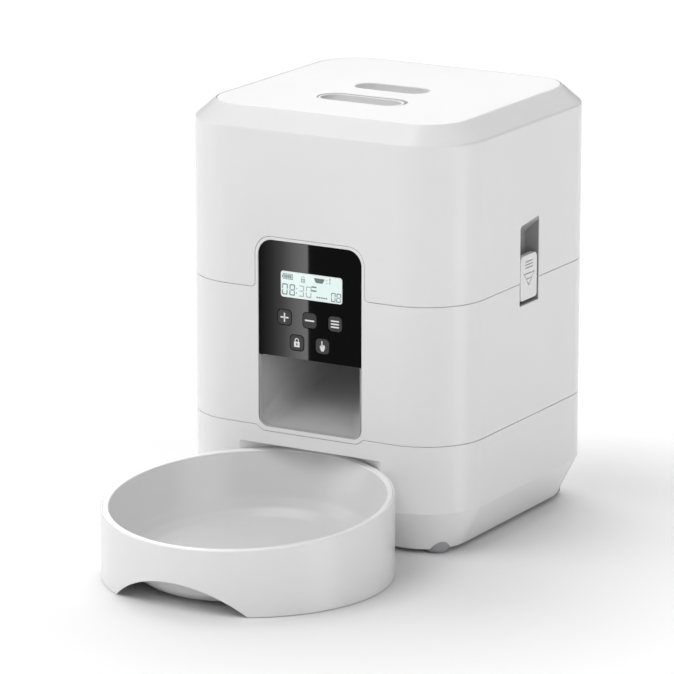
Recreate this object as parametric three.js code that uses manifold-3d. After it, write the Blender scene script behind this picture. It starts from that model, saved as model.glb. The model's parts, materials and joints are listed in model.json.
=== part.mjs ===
// Automatic dry-food pet feeder: a square tower with a lift-off hopper over a battery base, and a round bowl in front.
// Millimetres, +Z up, the front faces -Y. The origin is on the floor, at the centre of the whole footprint.
import * as THREE from "three";
import { mergeVertices } from "three/addons/utils/BufferGeometryUtils.js";
import Module from "manifold-3d";

const wasm = await Module();
wasm.setup();

// ---------------------------------------------------------------- driving dimensions
const WIDTH = 190; // tower, across and front to back
const CORNER = 38.5; // plan radius of the tower's corners
const WALL = 2.5;
const GAP = 0.35; // running clearance and joint lines
const BASE_Z = 2.3; // lower edge of the base
const SEAM_LOW_Z = 68; // base to housing
const SEAM_HIGH_Z = 151.5; // housing to hopper
const SHOULDER_Z = 246.5; // where the top chamfer starts
const TOP_Z = 257;
const TOP_INSET = 12.1; // of the top chamfer
const FOOT_CHAMFER_TOP_Z = 27;
const FOOT_INSET = 12.2;

const WINDOW_HALF = 35.1; // panel and chute window in the front wall
const WINDOW_LOW_Z = 67.5;
const WINDOW_HIGH_Z = 181.2;
const FRAME = 1.9; // white frame round the window
const PANEL_LOW_Z = 111.3;
const PANEL_DEPTH = 16.8; // electronics bay, from the front face to its rear cover

const BOWL_RADIUS = 85.2;
const BOWL_TO_TOWER = 165.5; // bowl centre to tower centre
const RIM_Z = 46.7; // top of the bowl's rim, at the bowl's centre
const RIM_TILT = 5; // degrees, higher at the back

const HALF = WIDTH / 2;
const TOWER_Y = (BOWL_TO_TOWER + BOWL_RADIUS - HALF) / 2; // puts the origin at the footprint's centre
const BOWL_Y = TOWER_Y - BOWL_TO_TOWER;
const WHEEL_Z = 139.3; // underside of the portion wheel
const GEAR_MODULE = 1.5;
const GEAR_TEETH = 30;
const PINION_TEETH = 10;

// ---------------------------------------------------------------- materials
const plastic = (color, roughness, metalness = 0) => new THREE.MeshStandardMaterial({ color, roughness, metalness });
const white = plastic(0xe9e9e8, 0.32);
const brightWhite = plastic(0xf6f6f5, 0.3);
const innerGrey = plastic(0xd2d3d4, 0.5);
const glossBlack = plastic(0x0b0b0d, 0.08);
const keyGrey = plastic(0x39393b, 0.45);
const silicone = plastic(0xc9ccce, 0.7);
const rubber = plastic(0x4a4b4d, 0.8);
const board = plastic(0x1f5a3a, 0.6);
const lcdTint = plastic(0xdff2ee, 0.25);
const steel = plastic(0xb9bcc0, 0.3, 1);
const cell = plastic(0x2c4f86, 0.4);
const gearWhite = plastic(0xefe9da, 0.5);

// ---------------------------------------------------------------- solids and booleans
function solidOf(geometry) {
  const bare = geometry.index ? geometry.toNonIndexed() : geometry.clone();
  bare.deleteAttribute("normal");
  bare.deleteAttribute("uv");
  const merged = mergeVertices(bare, 1e-3);
  const vertProperties = merged.attributes.position.array;
  const triVerts = new Uint32Array(merged.index.array);
  return new wasm.Manifold(new wasm.Mesh({ numProp: 3, vertProperties, triVerts }));
}

function geometryOf(solid) {
  const mesh = solid.getMesh();
  const geometry = new THREE.BufferGeometry();
  geometry.setAttribute("position", new THREE.BufferAttribute(mesh.vertProperties, 3));
  geometry.setIndex(new THREE.BufferAttribute(mesh.triVerts, 1));
  geometry.computeVertexNormals();
  return geometry;
}

const cut = (solid, ...tools) => tools.reduce((rest, tool) => rest.subtract(tool), solid);
const join = (...solids) => solids.reduce((sum, solid) => sum.add(solid));
const common = (...solids) => solids.reduce((sum, solid) => sum.intersect(solid));
const AXES = {
  x: [new THREE.Vector3(0, 1, 0), new THREE.Vector3(0, 0, 1), new THREE.Vector3(1, 0, 0)],
  y: [new THREE.Vector3(1, 0, 0), new THREE.Vector3(0, 0, 1), new THREE.Vector3(0, -1, 0)],
  z: [new THREE.Vector3(1, 0, 0), new THREE.Vector3(0, 1, 0), new THREE.Vector3(0, 0, 1)],
};

// A shape drawn in (x, y), (x, z) or (y, z) and extruded from low to high along the remaining axis.
function prism(shape, low, high, axis = "z", segments = 3) {
  const settings = { depth: high - low, bevelEnabled: false, curveSegments: segments };
  const geometry = new THREE.ExtrudeGeometry(shape, settings);
  geometry.applyMatrix4(new THREE.Matrix4().makeBasis(...AXES[axis]));
  const start = axis === "y" ? high : low;
  geometry.translate(axis === "x" ? start : 0, axis === "y" ? start : 0, axis === "z" ? start : 0);
  return solidOf(geometry);
}

// A box from its lowest corner to its highest.
function block(x0, y0, z0, x1, y1, z1) {
  const geometry = new THREE.BoxGeometry(x1 - x0, y1 - y0, z1 - z0);
  geometry.translate((x0 + x1) / 2, (y0 + y1) / 2, (z0 + z1) / 2);
  return solidOf(geometry);
}

function rod(x, y, radius, low, high, sides = 16, topRadius = radius) {
  const geometry = new THREE.CylinderGeometry(topRadius, radius, high - low, sides);
  geometry.rotateX(Math.PI / 2);
  geometry.translate(x, y, (low + high) / 2);
  return solidOf(geometry);
}

// A rod along Y, centred on (x, z).
function rodAlongY(x, z, radius, low, high, sides = 16) {
  const geometry = new THREE.CylinderGeometry(radius, radius, high - low, sides);
  geometry.translate(x, (low + high) / 2, z);
  return solidOf(geometry);
}

function roundedRect(width, height, radius, cx = 0, cy = 0) {
  const shape = new THREE.Shape();
  const x = width / 2 - radius;
  const y = height / 2 - radius;
  shape.absarc(cx + x, cy - y, radius, -Math.PI / 2, 0);
  shape.absarc(cx + x, cy + y, radius, 0, Math.PI / 2);
  shape.absarc(cx - x, cy + y, radius, Math.PI / 2, Math.PI);
  shape.absarc(cx - x, cy - y, radius, Math.PI, 1.5 * Math.PI);
  return shape;
}

// A slot with round ends along X.
function stadium(length, width, cy = 0) {
  const shape = new THREE.Shape();
  const reach = (length - width) / 2;
  shape.absarc(reach, cy, width / 2, -Math.PI / 2, Math.PI / 2);
  shape.absarc(-reach, cy, width / 2, Math.PI / 2, 1.5 * Math.PI);
  return shape;
}

// An upright window outline with its own radii at the top and the bottom corners.
function archOutline(half, low, high, topRadius, lowRadius) {
  const shape = new THREE.Shape();
  shape.absarc(half - lowRadius, low + lowRadius, lowRadius, -Math.PI / 2, 0);
  shape.absarc(half - topRadius, high - topRadius, topRadius, 0, Math.PI / 2);
  shape.absarc(topRadius - half, high - topRadius, topRadius, Math.PI / 2, Math.PI);
  shape.absarc(lowRadius - half, low + lowRadius, lowRadius, Math.PI, 1.5 * Math.PI);
  return shape;
}

function polygon(...points) {
  return new THREE.Shape(points.map(([x, y]) => new THREE.Vector2(x, y)));
}

// A rounded square whose outline grows evenly from one inset to the other: a chamfer or a funnel.
function taper(half, radius, inset, low, high, wideAtTop = true) {
  const height = high - low;
  const settings = {
    depth: 1,
    bevelThickness: height,
    bevelSize: inset,
    bevelOffset: -inset,
    bevelSegments: 1,
    curveSegments: 3,
  };
  const geometry = new THREE.ExtrudeGeometry(roundedRect(2 * half, 2 * half, radius), settings);
  geometry.translate(0, 0, wideAtTop ? high : low - 1);
  const keep = block(-half - 1, -half - 1, low, half + 1, half + 1, high);
  return common(solidOf(geometry), keep);
}

// The tower's outer form, moved inwards by `inset`.
function towerForm(inset) {
  const half = HALF - inset;
  const radius = CORNER - inset;
  const middle = prism(roundedRect(2 * half, 2 * half, radius), FOOT_CHAMFER_TOP_Z, SHOULDER_Z);
  const foot = taper(half, radius, FOOT_INSET, BASE_Z, FOOT_CHAMFER_TOP_Z);
  const top = taper(half, radius, TOP_INSET, SHOULDER_Z, TOP_Z, false);
  return join(foot, middle, top);
}

const slab = (low, high) => block(-HALF - 5, -HALF - 5, low, HALF + 5, HALF + 5, high);
const plate = (half, radius, low, high) => prism(roundedRect(2 * half, 2 * half, radius), low, high);

function mesh(name, solid, material) {
  const made = new THREE.Mesh(geometryOf(solid), material);
  made.name = name;
  return made;
}

// ---------------------------------------------------------------- the base
const RECESS_HALF = 48.5; // hollow in the base's front that takes the back of the round bowl
const RECESS_TOP_Z = 56.8;
const RECESS_DEPTH = 17; // at its middle
const RECESS_RADIUS = (RECESS_HALF ** 2 + RECESS_DEPTH ** 2) / (2 * RECESS_DEPTH);
const RECESS_Y = -HALF + RECESS_DEPTH - RECESS_RADIUS; // centre of its round back
const FOOT_X = 72.3;
const FOOT_Y = 69.8;
const FOOT_RADIUS = 8;
const DOOR_Z = 4; // underside of the battery door
const BOSS_X = 74;
const BOSS_Y = 34;
const INLET_X = -52;
const INLET_Z = 42;
const SIGNS = [[-1, -1], [1, -1], [-1, 1], [1, 1]];

// The window frame dips a little below the lower seam, into a shallow notch in the base.
const FRAME_FOOT_Z = 64.9;
const frameFoot = (grow, front, back) => prism(
  polygon([-33 - grow, FRAME_FOOT_Z - grow], [33 + grow, FRAME_FOOT_Z - grow], [36.7 + grow, SEAM_LOW_Z],
    [36.7 + grow, SEAM_LOW_Z + 2], [-36.7 - grow, SEAM_LOW_Z + 2], [-36.7 - grow, SEAM_LOW_Z]),
  front, back, "y");

// The round-backed hollow for the bowl, grown outwards and upwards by `grow`.
const bowlHollow = (grow, front) => common(
  rod(0, RECESS_Y, RECESS_RADIUS + grow, -5, RECESS_TOP_Z + grow, 96),
  block(-RECESS_HALF - grow - 5, front, -5, RECESS_HALF + grow + 5, -HALF + 40, RECESS_TOP_Z + grow));

function baseShell() {
  const skin = cut(towerForm(0), towerForm(WALL));
  const recessLiner = common(towerForm(0.5), bowlHollow(WALL, -HALF));
  const front = prism(archOutline(RECESS_HALF, -5, RECESS_TOP_Z, 2.2, 0.5), -HALF - 5, -HALF + 30, "y");
  const recess = common(front, bowlHollow(0, -HALF - 5));
  const lip = cut(
    plate(HALF - WALL - GAP, CORNER - WALL - GAP, SEAM_LOW_Z - 3, SEAM_LOW_Z + 2.5),
    plate(HALF - WALL - 1.8, CORNER - WALL - 1.8, SEAM_LOW_Z - 4, SEAM_LOW_Z + 3));
  const lipTie = cut(plate(HALF - 1, CORNER - 1, SEAM_LOW_Z - 3, SEAM_LOW_Z - 1),
    plate(HALF - WALL - 1.8, CORNER - WALL - 1.8, SEAM_LOW_Z - 4, SEAM_LOW_Z));
  const feet = SIGNS.map(([sx, sy]) => rod(sx * FOOT_X, sy * FOOT_Y, FOOT_RADIUS, 2, 18, 20));
  const bosses = SIGNS.map(([sx, sy]) => join(
    rod(sx * BOSS_X, sy * BOSS_Y, 5, 8.3, 30, 12),
    common(block(Math.min(sx * BOSS_X, sx * 94), sy * BOSS_Y - 1, 8.3, Math.max(sx * BOSS_X, sx * 94),
      sy * BOSS_Y + 1, 30), towerForm(1))));
  const shell = common(join(skin, lip, lipTie, recessLiner, ...bosses), slab(BASE_Z, SEAM_LOW_Z + 2.5));
  const capped = cut(shell, cut(slab(SEAM_LOW_Z, TOP_Z), lip));
  const footRecess = SIGNS.map(([sx, sy]) => rod(sx * FOOT_X, sy * FOOT_Y, FOOT_RADIUS - 0.9, 0, 3.6, 20));
  const screwHoles = SIGNS.map(([sx, sy]) => rod(sx * BOSS_X, sy * BOSS_Y, 1.75, 8, 22, 10));
  const inlet = rodAlongY(INLET_X, INLET_Z, 5.4, HALF - 4, HALF + 1, 20);
  const lipGap = block(-WINDOW_HALF - FRAME - 1, -HALF, SEAM_LOW_Z - 4, WINDOW_HALF + FRAME + 1, -HALF + 6,
    SEAM_LOW_Z + 3);
  const frontEdge = join(lipGap.intersect(lip), frameFoot(GAP, -HALF - 1, -HALF + WALL + 2));
  return cut(join(capped, ...feet), recess, frontEdge, inlet, ...footRecess, ...screwHoles);
}

function bottomCover() {
  const outline = common(towerForm(WALL + GAP), slab(5.8, 8));
  const recess = bowlHollow(WALL + GAP, -HALF - 5);
  const feet = SIGNS.map(([sx, sy]) => rod(sx * FOOT_X, sy * FOOT_Y, FOOT_RADIUS + GAP, 0, 20, 20));
  const screwHoles = SIGNS.map(([sx, sy]) => rod(sx * BOSS_X, sy * BOSS_Y, 2, 0, 20, 10));
  const hatch = block(-53, -32, 0, 53, 32, 20);
  const rails = [-1, 1].map((s) => block(Math.min(s * 57.4, s * 59.4), -36, DOOR_Z, Math.max(s * 57.4, s * 59.4),
    48, 6));
  return cut(join(outline, ...rails), recess, hatch, ...feet, ...screwHoles);
}

function bottomScrew(sx, sy) {
  const x = sx * BOSS_X;
  const y = sy * BOSS_Y;
  const driveSlot = block(x - 1.8, y - 0.4, 3, x + 1.8, y + 0.4, 4.9);
  return cut(join(rod(x, y, 3.2, 4.2, 5.7, 12), rod(x, y, 1.4, 5, 20, 8)), driveSlot);
}

function footPad(sx, sy) {
  return rod(sx * FOOT_X, sy * FOOT_Y, FOOT_RADIUS - 1.6, 0, 3.5, 20, FOOT_RADIUS - 1.3);
}

const CELL_RADIUS = 16.6;
const CELL_PITCH = 35.4;
const CELL_Z = 26;

function batteryBox() {
  const shell = cut(block(-56, -36, 8.3, 56, 36, 46), block(-54, -34, 0, 54, 34, 44.2));
  const ribs = [-0.5, 0.5].map((s) => block(s * CELL_PITCH - 0.5, -34.5, 36, s * CELL_PITCH + 0.5, 34.5, 45));
  return join(shell, ...ribs);
}

function batteryCell(column) {
  const x = (column - 1) * CELL_PITCH;
  return join(rodAlongY(x, CELL_Z, CELL_RADIUS, -29, 29, 20), rodAlongY(x, CELL_Z, 4.5, 28, 31, 12));
}

function contactPlate(rear) {
  const y = rear ? 32.4 : -33.6;
  const strip = block(-50, y, CELL_Z - 7, 50, y + 1, CELL_Z + 7);
  if (rear) return strip;
  const springs = [-1, 0, 1].map((s) => rodAlongY(s * CELL_PITCH, CELL_Z, 5, y + 0.5, -29.4, 12));
  return join(strip, ...springs);
}

function batteryDoor() {
  const ridge = (i) => block(-14, -28 + 4 * i, DOOR_Z - 0.6, 14, -26.6 + 4 * i, DOOR_Z + 0.5);
  return join(block(-57, -35, DOOR_Z, 57, 35, 5.4), ridge(0), ridge(1), ridge(2));
}

function powerInlet() {
  const barrel = join(rodAlongY(INLET_X, INLET_Z, 5, 78, HALF - 0.2, 20), block(INLET_X - 6, 78, INLET_Z - 7,
    INLET_X + 6, 90.8, INLET_Z + 6));
  const bore = rodAlongY(INLET_X, INLET_Z, 3, 82, HALF + 1, 16);
  return join(cut(barrel, bore), rodAlongY(INLET_X, INLET_Z, 1, 80, HALF - 2, 8));
}

const powerBoard = () => block(INLET_X - 16, 56, INLET_Z - 9, INLET_X + 22, 86, INLET_Z - 7.4);

// ---------------------------------------------------------------- the housing, chute and panel
const DECK_Z = 131;
const LATCH_HALF = 11;
const LATCH_LOW_Z = 138.2;
const LATCH_HIGH_Z = 187;
const POCKET_X = 84; // inner face of the latch pockets
const POCKET_ROOF_Z = 178; // where their sloped roof meets that face
const CHUTE_SLOPE = 0.6;
const CHUTE_BACK = -30;
const CHUTE_FRONT = -92;
const THROAT_HALF = 18;
const THROAT_FRONT = -48.5;
const THROAT_TOP_Z = 135.2;

const windowTool = (grow = 0) => prism(
  archOutline(WINDOW_HALF + grow, WINDOW_LOW_Z - grow, WINDOW_HIGH_Z + grow, 9.5 + grow, 6.2 + grow),
  -HALF - 2, -HALF + PANEL_DEPTH + 2, "y");

// Keeps the deck and its ledge clear of the electronics bay.
const bayGap = () => block(-WINDOW_HALF - FRAME - GAP, -HALF + 1, DECK_Z - 5, WINDOW_HALF + FRAME + GAP,
  -HALF + PANEL_DEPTH + 1, DECK_Z + 5);

function latchPocket(side, low, high, floor) {
  const x = (a, b) => (side > 0 ? [a, b] : [-b, -a]);
  const [x0, x1] = x(POCKET_X - 2, HALF - 1);
  const [c0, c1] = x(POCKET_X, HALF + 2);
  const shell = block(x0, -LATCH_HALF - 2, low, x1, LATCH_HALF + 2, high);
  return cut(shell, block(c0, -LATCH_HALF, floor, c1, LATCH_HALF, high + 1));
}

function bodyHousing() {
  const tower = cut(towerForm(0), towerForm(WALL));
  const skin = common(tower, slab(SEAM_LOW_Z, SEAM_HIGH_Z));
  const arch = join(frameFoot(0, -HALF, -HALF + WALL), prism(
    archOutline(WINDOW_HALF + FRAME, SEAM_LOW_Z, WINDOW_HIGH_Z + FRAME, 11, 0.3), -HALF, -HALF + WALL, "y"));
  const bay = cut(
    prism(archOutline(WINDOW_HALF + FRAME, PANEL_LOW_Z + 2.6, WINDOW_HIGH_Z + FRAME, 11, 0.5), -HALF + 1,
      -HALF + PANEL_DEPTH - 1.8, "y"),
    windowTool());
  const ledge = cut(plate(HALF - 1, CORNER - 1, DECK_Z - 2.3, DECK_Z - GAP),
    plate(HALF - WALL - 3, CORNER - WALL - 3, DECK_Z - 3, DECK_Z + 1), bayGap());
  const pockets = [-1, 1].map((side) => latchPocket(side, LATCH_LOW_Z - 2, SEAM_HIGH_Z - 0.2, LATCH_LOW_Z));
  const latchCuts = [-1, 1].map((side) => block(Math.min(side * 90, side * 99), -LATCH_HALF, LATCH_LOW_Z,
    Math.max(side * 90, side * 99), LATCH_HALF, SEAM_HIGH_Z + 1));
  return cut(join(skin, arch, bay, ledge, ...pockets), windowTool(), ...latchCuts);
}

// The floor of the housing: it carries the gearbox and lies on the ledge inside the wall.
function housingDeck() {
  const deck = plate(HALF - WALL - GAP, CORNER - WALL - GAP, DECK_Z, DECK_Z + WALL);
  const throat = block(-THROAT_HALF - 2.5, THROAT_FRONT - 2.5, DECK_Z - 1, THROAT_HALF + 2.5, CHUTE_BACK + 2.5,
    DECK_Z + 4);
  return cut(deck, throat, bayGap(), rod(0, 0, 7.5, DECK_Z - 1, DECK_Z + 4, 16),
    ...GEARBOX_SCREWS.map(([x, y]) => rod(x, y, 1.75, DECK_Z - 1, DECK_Z + 4, 8)));
}

function chuteForm(grow) {
  const frontHalf = WINDOW_HALF + grow - 0.1;
  const backHalf = THROAT_HALF + grow;
  const back = CHUTE_BACK + grow;
  const front = grow ? CHUTE_FRONT : CHUTE_FRONT - 4;
  const plan = polygon([-frontHalf, front], [frontHalf, front], [backHalf, back], [-backHalf, back]);
  const floorAt = (y) => WINDOW_LOW_Z + CHUTE_SLOPE * (y - CHUTE_FRONT) - grow;
  const top = THROAT_TOP_Z;
  const side = polygon(
    [front, floorAt(front) - (grow ? 0 : 0.2)], [back, floorAt(CHUTE_BACK)], [back, top],
    [THROAT_FRONT - grow, top], [THROAT_FRONT - grow, 130 + grow], [-77 - grow, PANEL_LOW_Z + grow],
    [front, PANEL_LOW_Z + grow]);
  return common(prism(plan, 40, 160), prism(side, -60, 60, "x"));
}

function foodChute() {
  const ceiling = 127;
  const passage = common(chuteForm(0), slab(0, ceiling));
  const casing = common(chuteForm(2), slab(0, ceiling + 2));
  const throat = block(-THROAT_HALF - 2, THROAT_FRONT - 2, ceiling, THROAT_HALF + 2, CHUTE_BACK + 2, THROAT_TOP_Z);
  const drop = block(-THROAT_HALF, THROAT_FRONT, ceiling - 1, THROAT_HALF, CHUTE_BACK, THROAT_TOP_Z + 1);
  return cut(join(casing, throat), passage, drop);
}

const LCD = { x0: -20.1, x1: 22.2, z0: 147.5, z1: 163.8 };
const KEY_SIZE = 9.2;
const KEYS = {
  key_plus: [-17.1, 135.5],
  key_minus: [0, 135.5],
  key_set: [17.2, 135.5],
  key_lock: [-8.7, 121],
  key_feed: [8.6, 121],
};
const PANEL_FRONT = -HALF + 0.5;

function panelFace() {
  const outline = archOutline(WINDOW_HALF - 0.25, PANEL_LOW_Z, WINDOW_HIGH_Z - 0.25, 9.25, 0.4);
  const face = prism(outline, PANEL_FRONT, PANEL_FRONT + 2.4, "y");
  const display = prism(
    roundedRect(LCD.x1 - LCD.x0, LCD.z1 - LCD.z0, 2, (LCD.x0 + LCD.x1) / 2, (LCD.z0 + LCD.z1) / 2),
    -HALF - 1, -HALF + 5, "y", 2);
  const holes = Object.values(KEYS).map(([x, z]) =>
    prism(roundedRect(KEY_SIZE + 0.6, KEY_SIZE + 0.6, 2.6, x, z), -HALF - 1, -HALF + 5, "y", 2));
  return cut(face, display, ...holes);
}

function keyCap([x, z]) {
  const cap = prism(roundedRect(KEY_SIZE, KEY_SIZE, 2.3, x, z), -HALF + 0.2, -HALF + 3.6, "y", 2);
  return join(cap, rodAlongY(x, z, 2, -HALF + 3, -HALF + 4.8, 8));
}

const lcdWindow = () => prism(
  roundedRect(LCD.x1 - LCD.x0 - 0.5, LCD.z1 - LCD.z0 - 0.5, 1.75, (LCD.x0 + LCD.x1) / 2, (LCD.z0 + LCD.z1) / 2),
  PANEL_FRONT + 0.05, PANEL_FRONT + 2.2, "y", 2);
const lcdModule = () => block(LCD.x0 - 3, PANEL_FRONT + 2.7, LCD.z0 - 3.5, LCD.x1 + 3, PANEL_FRONT + 6.6,
  LCD.z1 + 3.5);

function keyMat() {
  const domes = Object.values(KEYS).map(([x, z]) => rodAlongY(x, z, 3, -HALF + 5.9, -HALF + 7, 10));
  return join(block(-24, -HALF + 6.6, 115.5, 25, -HALF + 7.8, 141.5), ...domes);
}

function controlBoard() {
  const plateBoard = block(-32, -HALF + 8, 115, 32, -HALF + 9.6, 177);
  const chip = block(-8, -HALF + 9, 138, 8, -HALF + 11, 154);
  const buzzer = rodAlongY(20, 160, 5, -HALF + 9, -HALF + 13.5, 12);
  return join(plateBoard, chip, buzzer);
}

const panelBackCover = () => prism(
  archOutline(WINDOW_HALF + FRAME, PANEL_LOW_Z + 2.9, WINDOW_HIGH_Z + FRAME, 11, 0.5),
  -HALF + PANEL_DEPTH - 1.6, -HALF + PANEL_DEPTH, "y");

// ---------------------------------------------------------------- the drive
const MOTOR_Y = (GEAR_MODULE * (GEAR_TEETH + PINION_TEETH)) / 2;
const GEARBOX_SCREWS = [[-24, 40], [24, 40]];
const CASE_Z = 114;

// An involute spur gear's outline, with a little backlash.
function gearOutline(teeth, module, turn = 0) {
  const pitch = (module * teeth) / 2;
  const base = pitch * Math.cos(Math.PI / 9);
  const root = pitch - 1.25 * module;
  const tip = pitch + 0.95 * module;
  const involute = (r) => {
    const a = Math.acos(Math.min(1, base / r));
    return Math.tan(a) - a;
  };
  const halfTooth = Math.PI / (2 * teeth) - 0.14 / pitch;
  const flank = [Math.max(base, root + 0.05), pitch, tip];
  const points = [];
  for (let tooth = 0; tooth < teeth; tooth++) {
    const centre = (2 * Math.PI * tooth) / teeth + turn;
    const at = (r, offset) => points.push([r * Math.cos(centre + offset), r * Math.sin(centre + offset)]);
    const spread = (r) => halfTooth + involute(pitch) - involute(r);
    at(root, -spread(flank[0]) - 0.02);
    flank.forEach((r) => at(r, -spread(r)));
    [...flank].reverse().forEach((r) => at(r, spread(r)));
    at(root, spread(flank[0]) + 0.02);
  }
  return polygon(...points);
}

const dogOutline = (grow) => {
  const points = [];
  for (let i = 0; i < 8; i++) {
    const angle = (i * Math.PI) / 4;
    const radius = i % 2 ? 3.2 + grow : 6 + grow;
    points.push([radius * Math.cos(angle), radius * Math.sin(angle)]);
  }
  return polygon(...points);
};

function driveGear() {
  const gear = prism(gearOutline(GEAR_TEETH, GEAR_MODULE), 117.5, 124);
  return join(gear, rod(0, 0, 5, 116.4, 136, 16), prism(dogOutline(0), 134, 146));
}

function motorPinion() {
  // Half a tooth pitch of turn puts a gap opposite the gear's tooth on the centre line.
  const mesh = Math.PI / PINION_TEETH - Math.PI / 2;
  const gearPhase = (Math.PI / 2) % ((2 * Math.PI) / GEAR_TEETH);
  const turn = mesh - (gearPhase * GEAR_TEETH) / PINION_TEETH * -1;
  const pinion = prism(gearOutline(PINION_TEETH, GEAR_MODULE, turn), 117.5, 124);
  const shaft = rod(0, 0, 1.6, CASE_Z - 0.9, 126, 8);
  return join(pinion, shaft).translate([0, MOTOR_Y, 0]);
}

function gearboxCase() {
  const outline = roundedRect(56, 70, 9, 0, 9);
  const inner = roundedRect(52, 66, 7, 0, 9);
  const shell = cut(prism(outline, CASE_Z, 127.6), prism(inner, CASE_Z + 2, 130));
  const posts = GEARBOX_SCREWS.map(([x, y]) => rod(x, y, 3.5, CASE_Z + 1, 127.6, 10));
  const holes = GEARBOX_SCREWS.map(([x, y]) => rod(x, y, 1.6, CASE_Z + 4, 130, 8));
  return cut(join(shell, ...posts), ...holes, rod(0, MOTOR_Y, 2.4, 100, 120, 12));
}

function gearboxCover() {
  const holes = GEARBOX_SCREWS.map(([x, y]) => rod(x, y, 1.75, 120, 140, 8));
  return cut(prism(roundedRect(56, 70, 9, 0, 9), 127.9, 130.6), rod(0, 0, 5.6, 120, 140, 16), ...holes);
}

const gearboxScrew = ([x, y]) => join(rod(x, y, 3, DECK_Z + WALL + 0.2, DECK_Z + WALL + 1.8, 12),
  rod(x, y, 1.3, CASE_Z + 5, DECK_Z + WALL + 1, 8));

function motor() {
  const can = rod(0, MOTOR_Y, 14, 74, 111, 20);
  const front = rod(0, MOTOR_Y, 12, 110, CASE_Z - 1.2, 20);
  const tabs = block(-4, MOTOR_Y - 6, 71, 4, MOTOR_Y + 6, 75);
  return join(can, front, tabs);
}

// ---------------------------------------------------------------- the hopper
const RIM_HALF = HALF - TOP_INSET - 0.6; // opening that takes the lid
const RIM_RADIUS = CORNER - TOP_INSET - 0.6;
const LEDGE_Z = 251.5;
const MOUTH_HALF = 76;
const FUNNEL_TOP_Z = 214.4;
const FUNNEL_LOW_Z = 166.4;
const FUNNEL_INSET = 35;
const FUNNEL_HALF = HALF - WALL - GAP;
const WELL_RADIUS = 54;
const WELL_FLOOR_Z = 136;

function hopperShell() {
  const top = join(
    plate(MOUTH_HALF, 20, SHOULDER_Z - 8, TOP_Z + 1), plate(RIM_HALF, RIM_RADIUS, LEDGE_Z, TOP_Z + 1),
    plate(HALF - WALL, CORNER - WALL, 140, SHOULDER_Z - 6),
    taper(HALF - WALL, CORNER - WALL, TOP_INSET - 0.6, SHOULDER_Z - 6.2, LEDGE_Z - 2, false));
  const skin = cut(common(towerForm(0), slab(SEAM_HIGH_Z + GAP, TOP_Z)), top);
  const arch = prism(
    archOutline(WINDOW_HALF + FRAME + GAP, 120, WINDOW_HIGH_Z + FRAME + GAP, 11 + GAP, 1), -HALF - 2,
    -HALF + WALL + 1, "y");
  const pockets = [-1, 1].map((side) => {
    const low = SEAM_HIGH_Z + GAP;
    const inner = side * POCKET_X;
    const body = latchPocket(side, low, LATCH_HIGH_Z + 2, low - 1);
    const roof = polygon([inner - side * 2, POCKET_ROOF_Z - 1.4], [side * 97, LATCH_HIGH_Z], [side * 97, LATCH_HIGH_Z + 2],
      [inner - side * 2, LATCH_HIGH_Z + 2]);
    const cap = prism(roof, -LATCH_HALF - 2, LATCH_HALF + 2, "y");
    return common(join(body, cap), towerForm(1));
  });
  const latchCuts = [-1, 1].map((side) => block(Math.min(side * 90, side * 99), -LATCH_HALF, 130,
    Math.max(side * 90, side * 99), LATCH_HALF, LATCH_HIGH_Z));
  const inside = [-1, 1].map((side) => {
    const space = polygon([side * POCKET_X, 130], [side * 99, 130], [side * 99, LATCH_HIGH_Z],
      [side * HALF, LATCH_HIGH_Z], [side * POCKET_X, POCKET_ROOF_Z]);
    return prism(space, -LATCH_HALF, LATCH_HALF, "y");
  });
  const shelves = [-1, 1].map((side) => block(Math.min(side * 83, side * 91), -5, SEAM_HIGH_Z + GAP,
    Math.max(side * 83, side * 91), 5, SHELF_Z));
  return join(cut(join(cut(skin, arch, ...latchCuts), ...pockets), ...inside), ...shelves);
}

function hopperFunnel() {
  const radius = CORNER - WALL - GAP;
  const sleeve = (half, r, low, high) => join(
    taper(half, r, FUNNEL_INSET, FUNNEL_LOW_Z, FUNNEL_TOP_Z), plate(half, r, FUNNEL_TOP_Z, high),
    plate(half - FUNNEL_INSET, Math.max(r - FUNNEL_INSET, 0.2), low, FUNNEL_LOW_Z));
  const outer = common(sleeve(FUNNEL_HALF, radius, 160, 230), slab(FUNNEL_LOW_Z, FUNNEL_TOP_Z));
  return cut(outer, sleeve(FUNNEL_HALF - 2, radius, 160, 230));
}

function portionWell() {
  const outer = join(rod(0, 0, WELL_RADIUS + 2, WELL_FLOOR_Z + 2.8, 166, 36), plate(58, 12, 163.8, 166));
  return cut(outer, rod(0, 0, WELL_RADIUS, WELL_FLOOR_Z, 170, 36));
}

function wellFloor() {
  const outlet = block(-THROAT_HALF, THROAT_FRONT, 130, THROAT_HALF, CHUTE_BACK, 140);
  return cut(rod(0, 0, WELL_RADIUS + 2, WELL_FLOOR_Z, WELL_FLOOR_Z + 2.5, 36), outlet, rod(0, 0, 8, 130, 140, 16));
}

const WHEEL_BLADES = 6;

function portionWheel() {
  const hub = rod(0, 0, 13, WHEEL_Z, WHEEL_Z + 20, 18);
  const blades = Array.from({ length: WHEEL_BLADES }, (_, i) =>
    block(10, -1.5, WHEEL_Z, 52.5, 1.5, WHEEL_Z + 18).rotate([0, 0, (360 / WHEEL_BLADES) * i]));
  const cone = rod(0, 0, 13, WHEEL_Z + 20, WHEEL_Z + 29, 18, 3);
  return cut(join(hub, cone, ...blades), prism(dogOutline(0.5), WHEEL_Z - 1, 147));
}

// A soft strip over the outlet levels the food in each compartment.
function outletWiper() {
  const bridge = common(block(-24, -53, 160.5, 24, -22, 162), rod(0, 0, WELL_RADIUS - GAP, 150, 170, 36));
  return join(bridge, common(block(-24, -54, 160.5, 24, -50, 163.4), rod(0, 0, WELL_RADIUS - GAP, 150, 170, 36)));
}

const SHELF_Z = 153.8; // top of the shelf that the latch spring stands on

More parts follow.
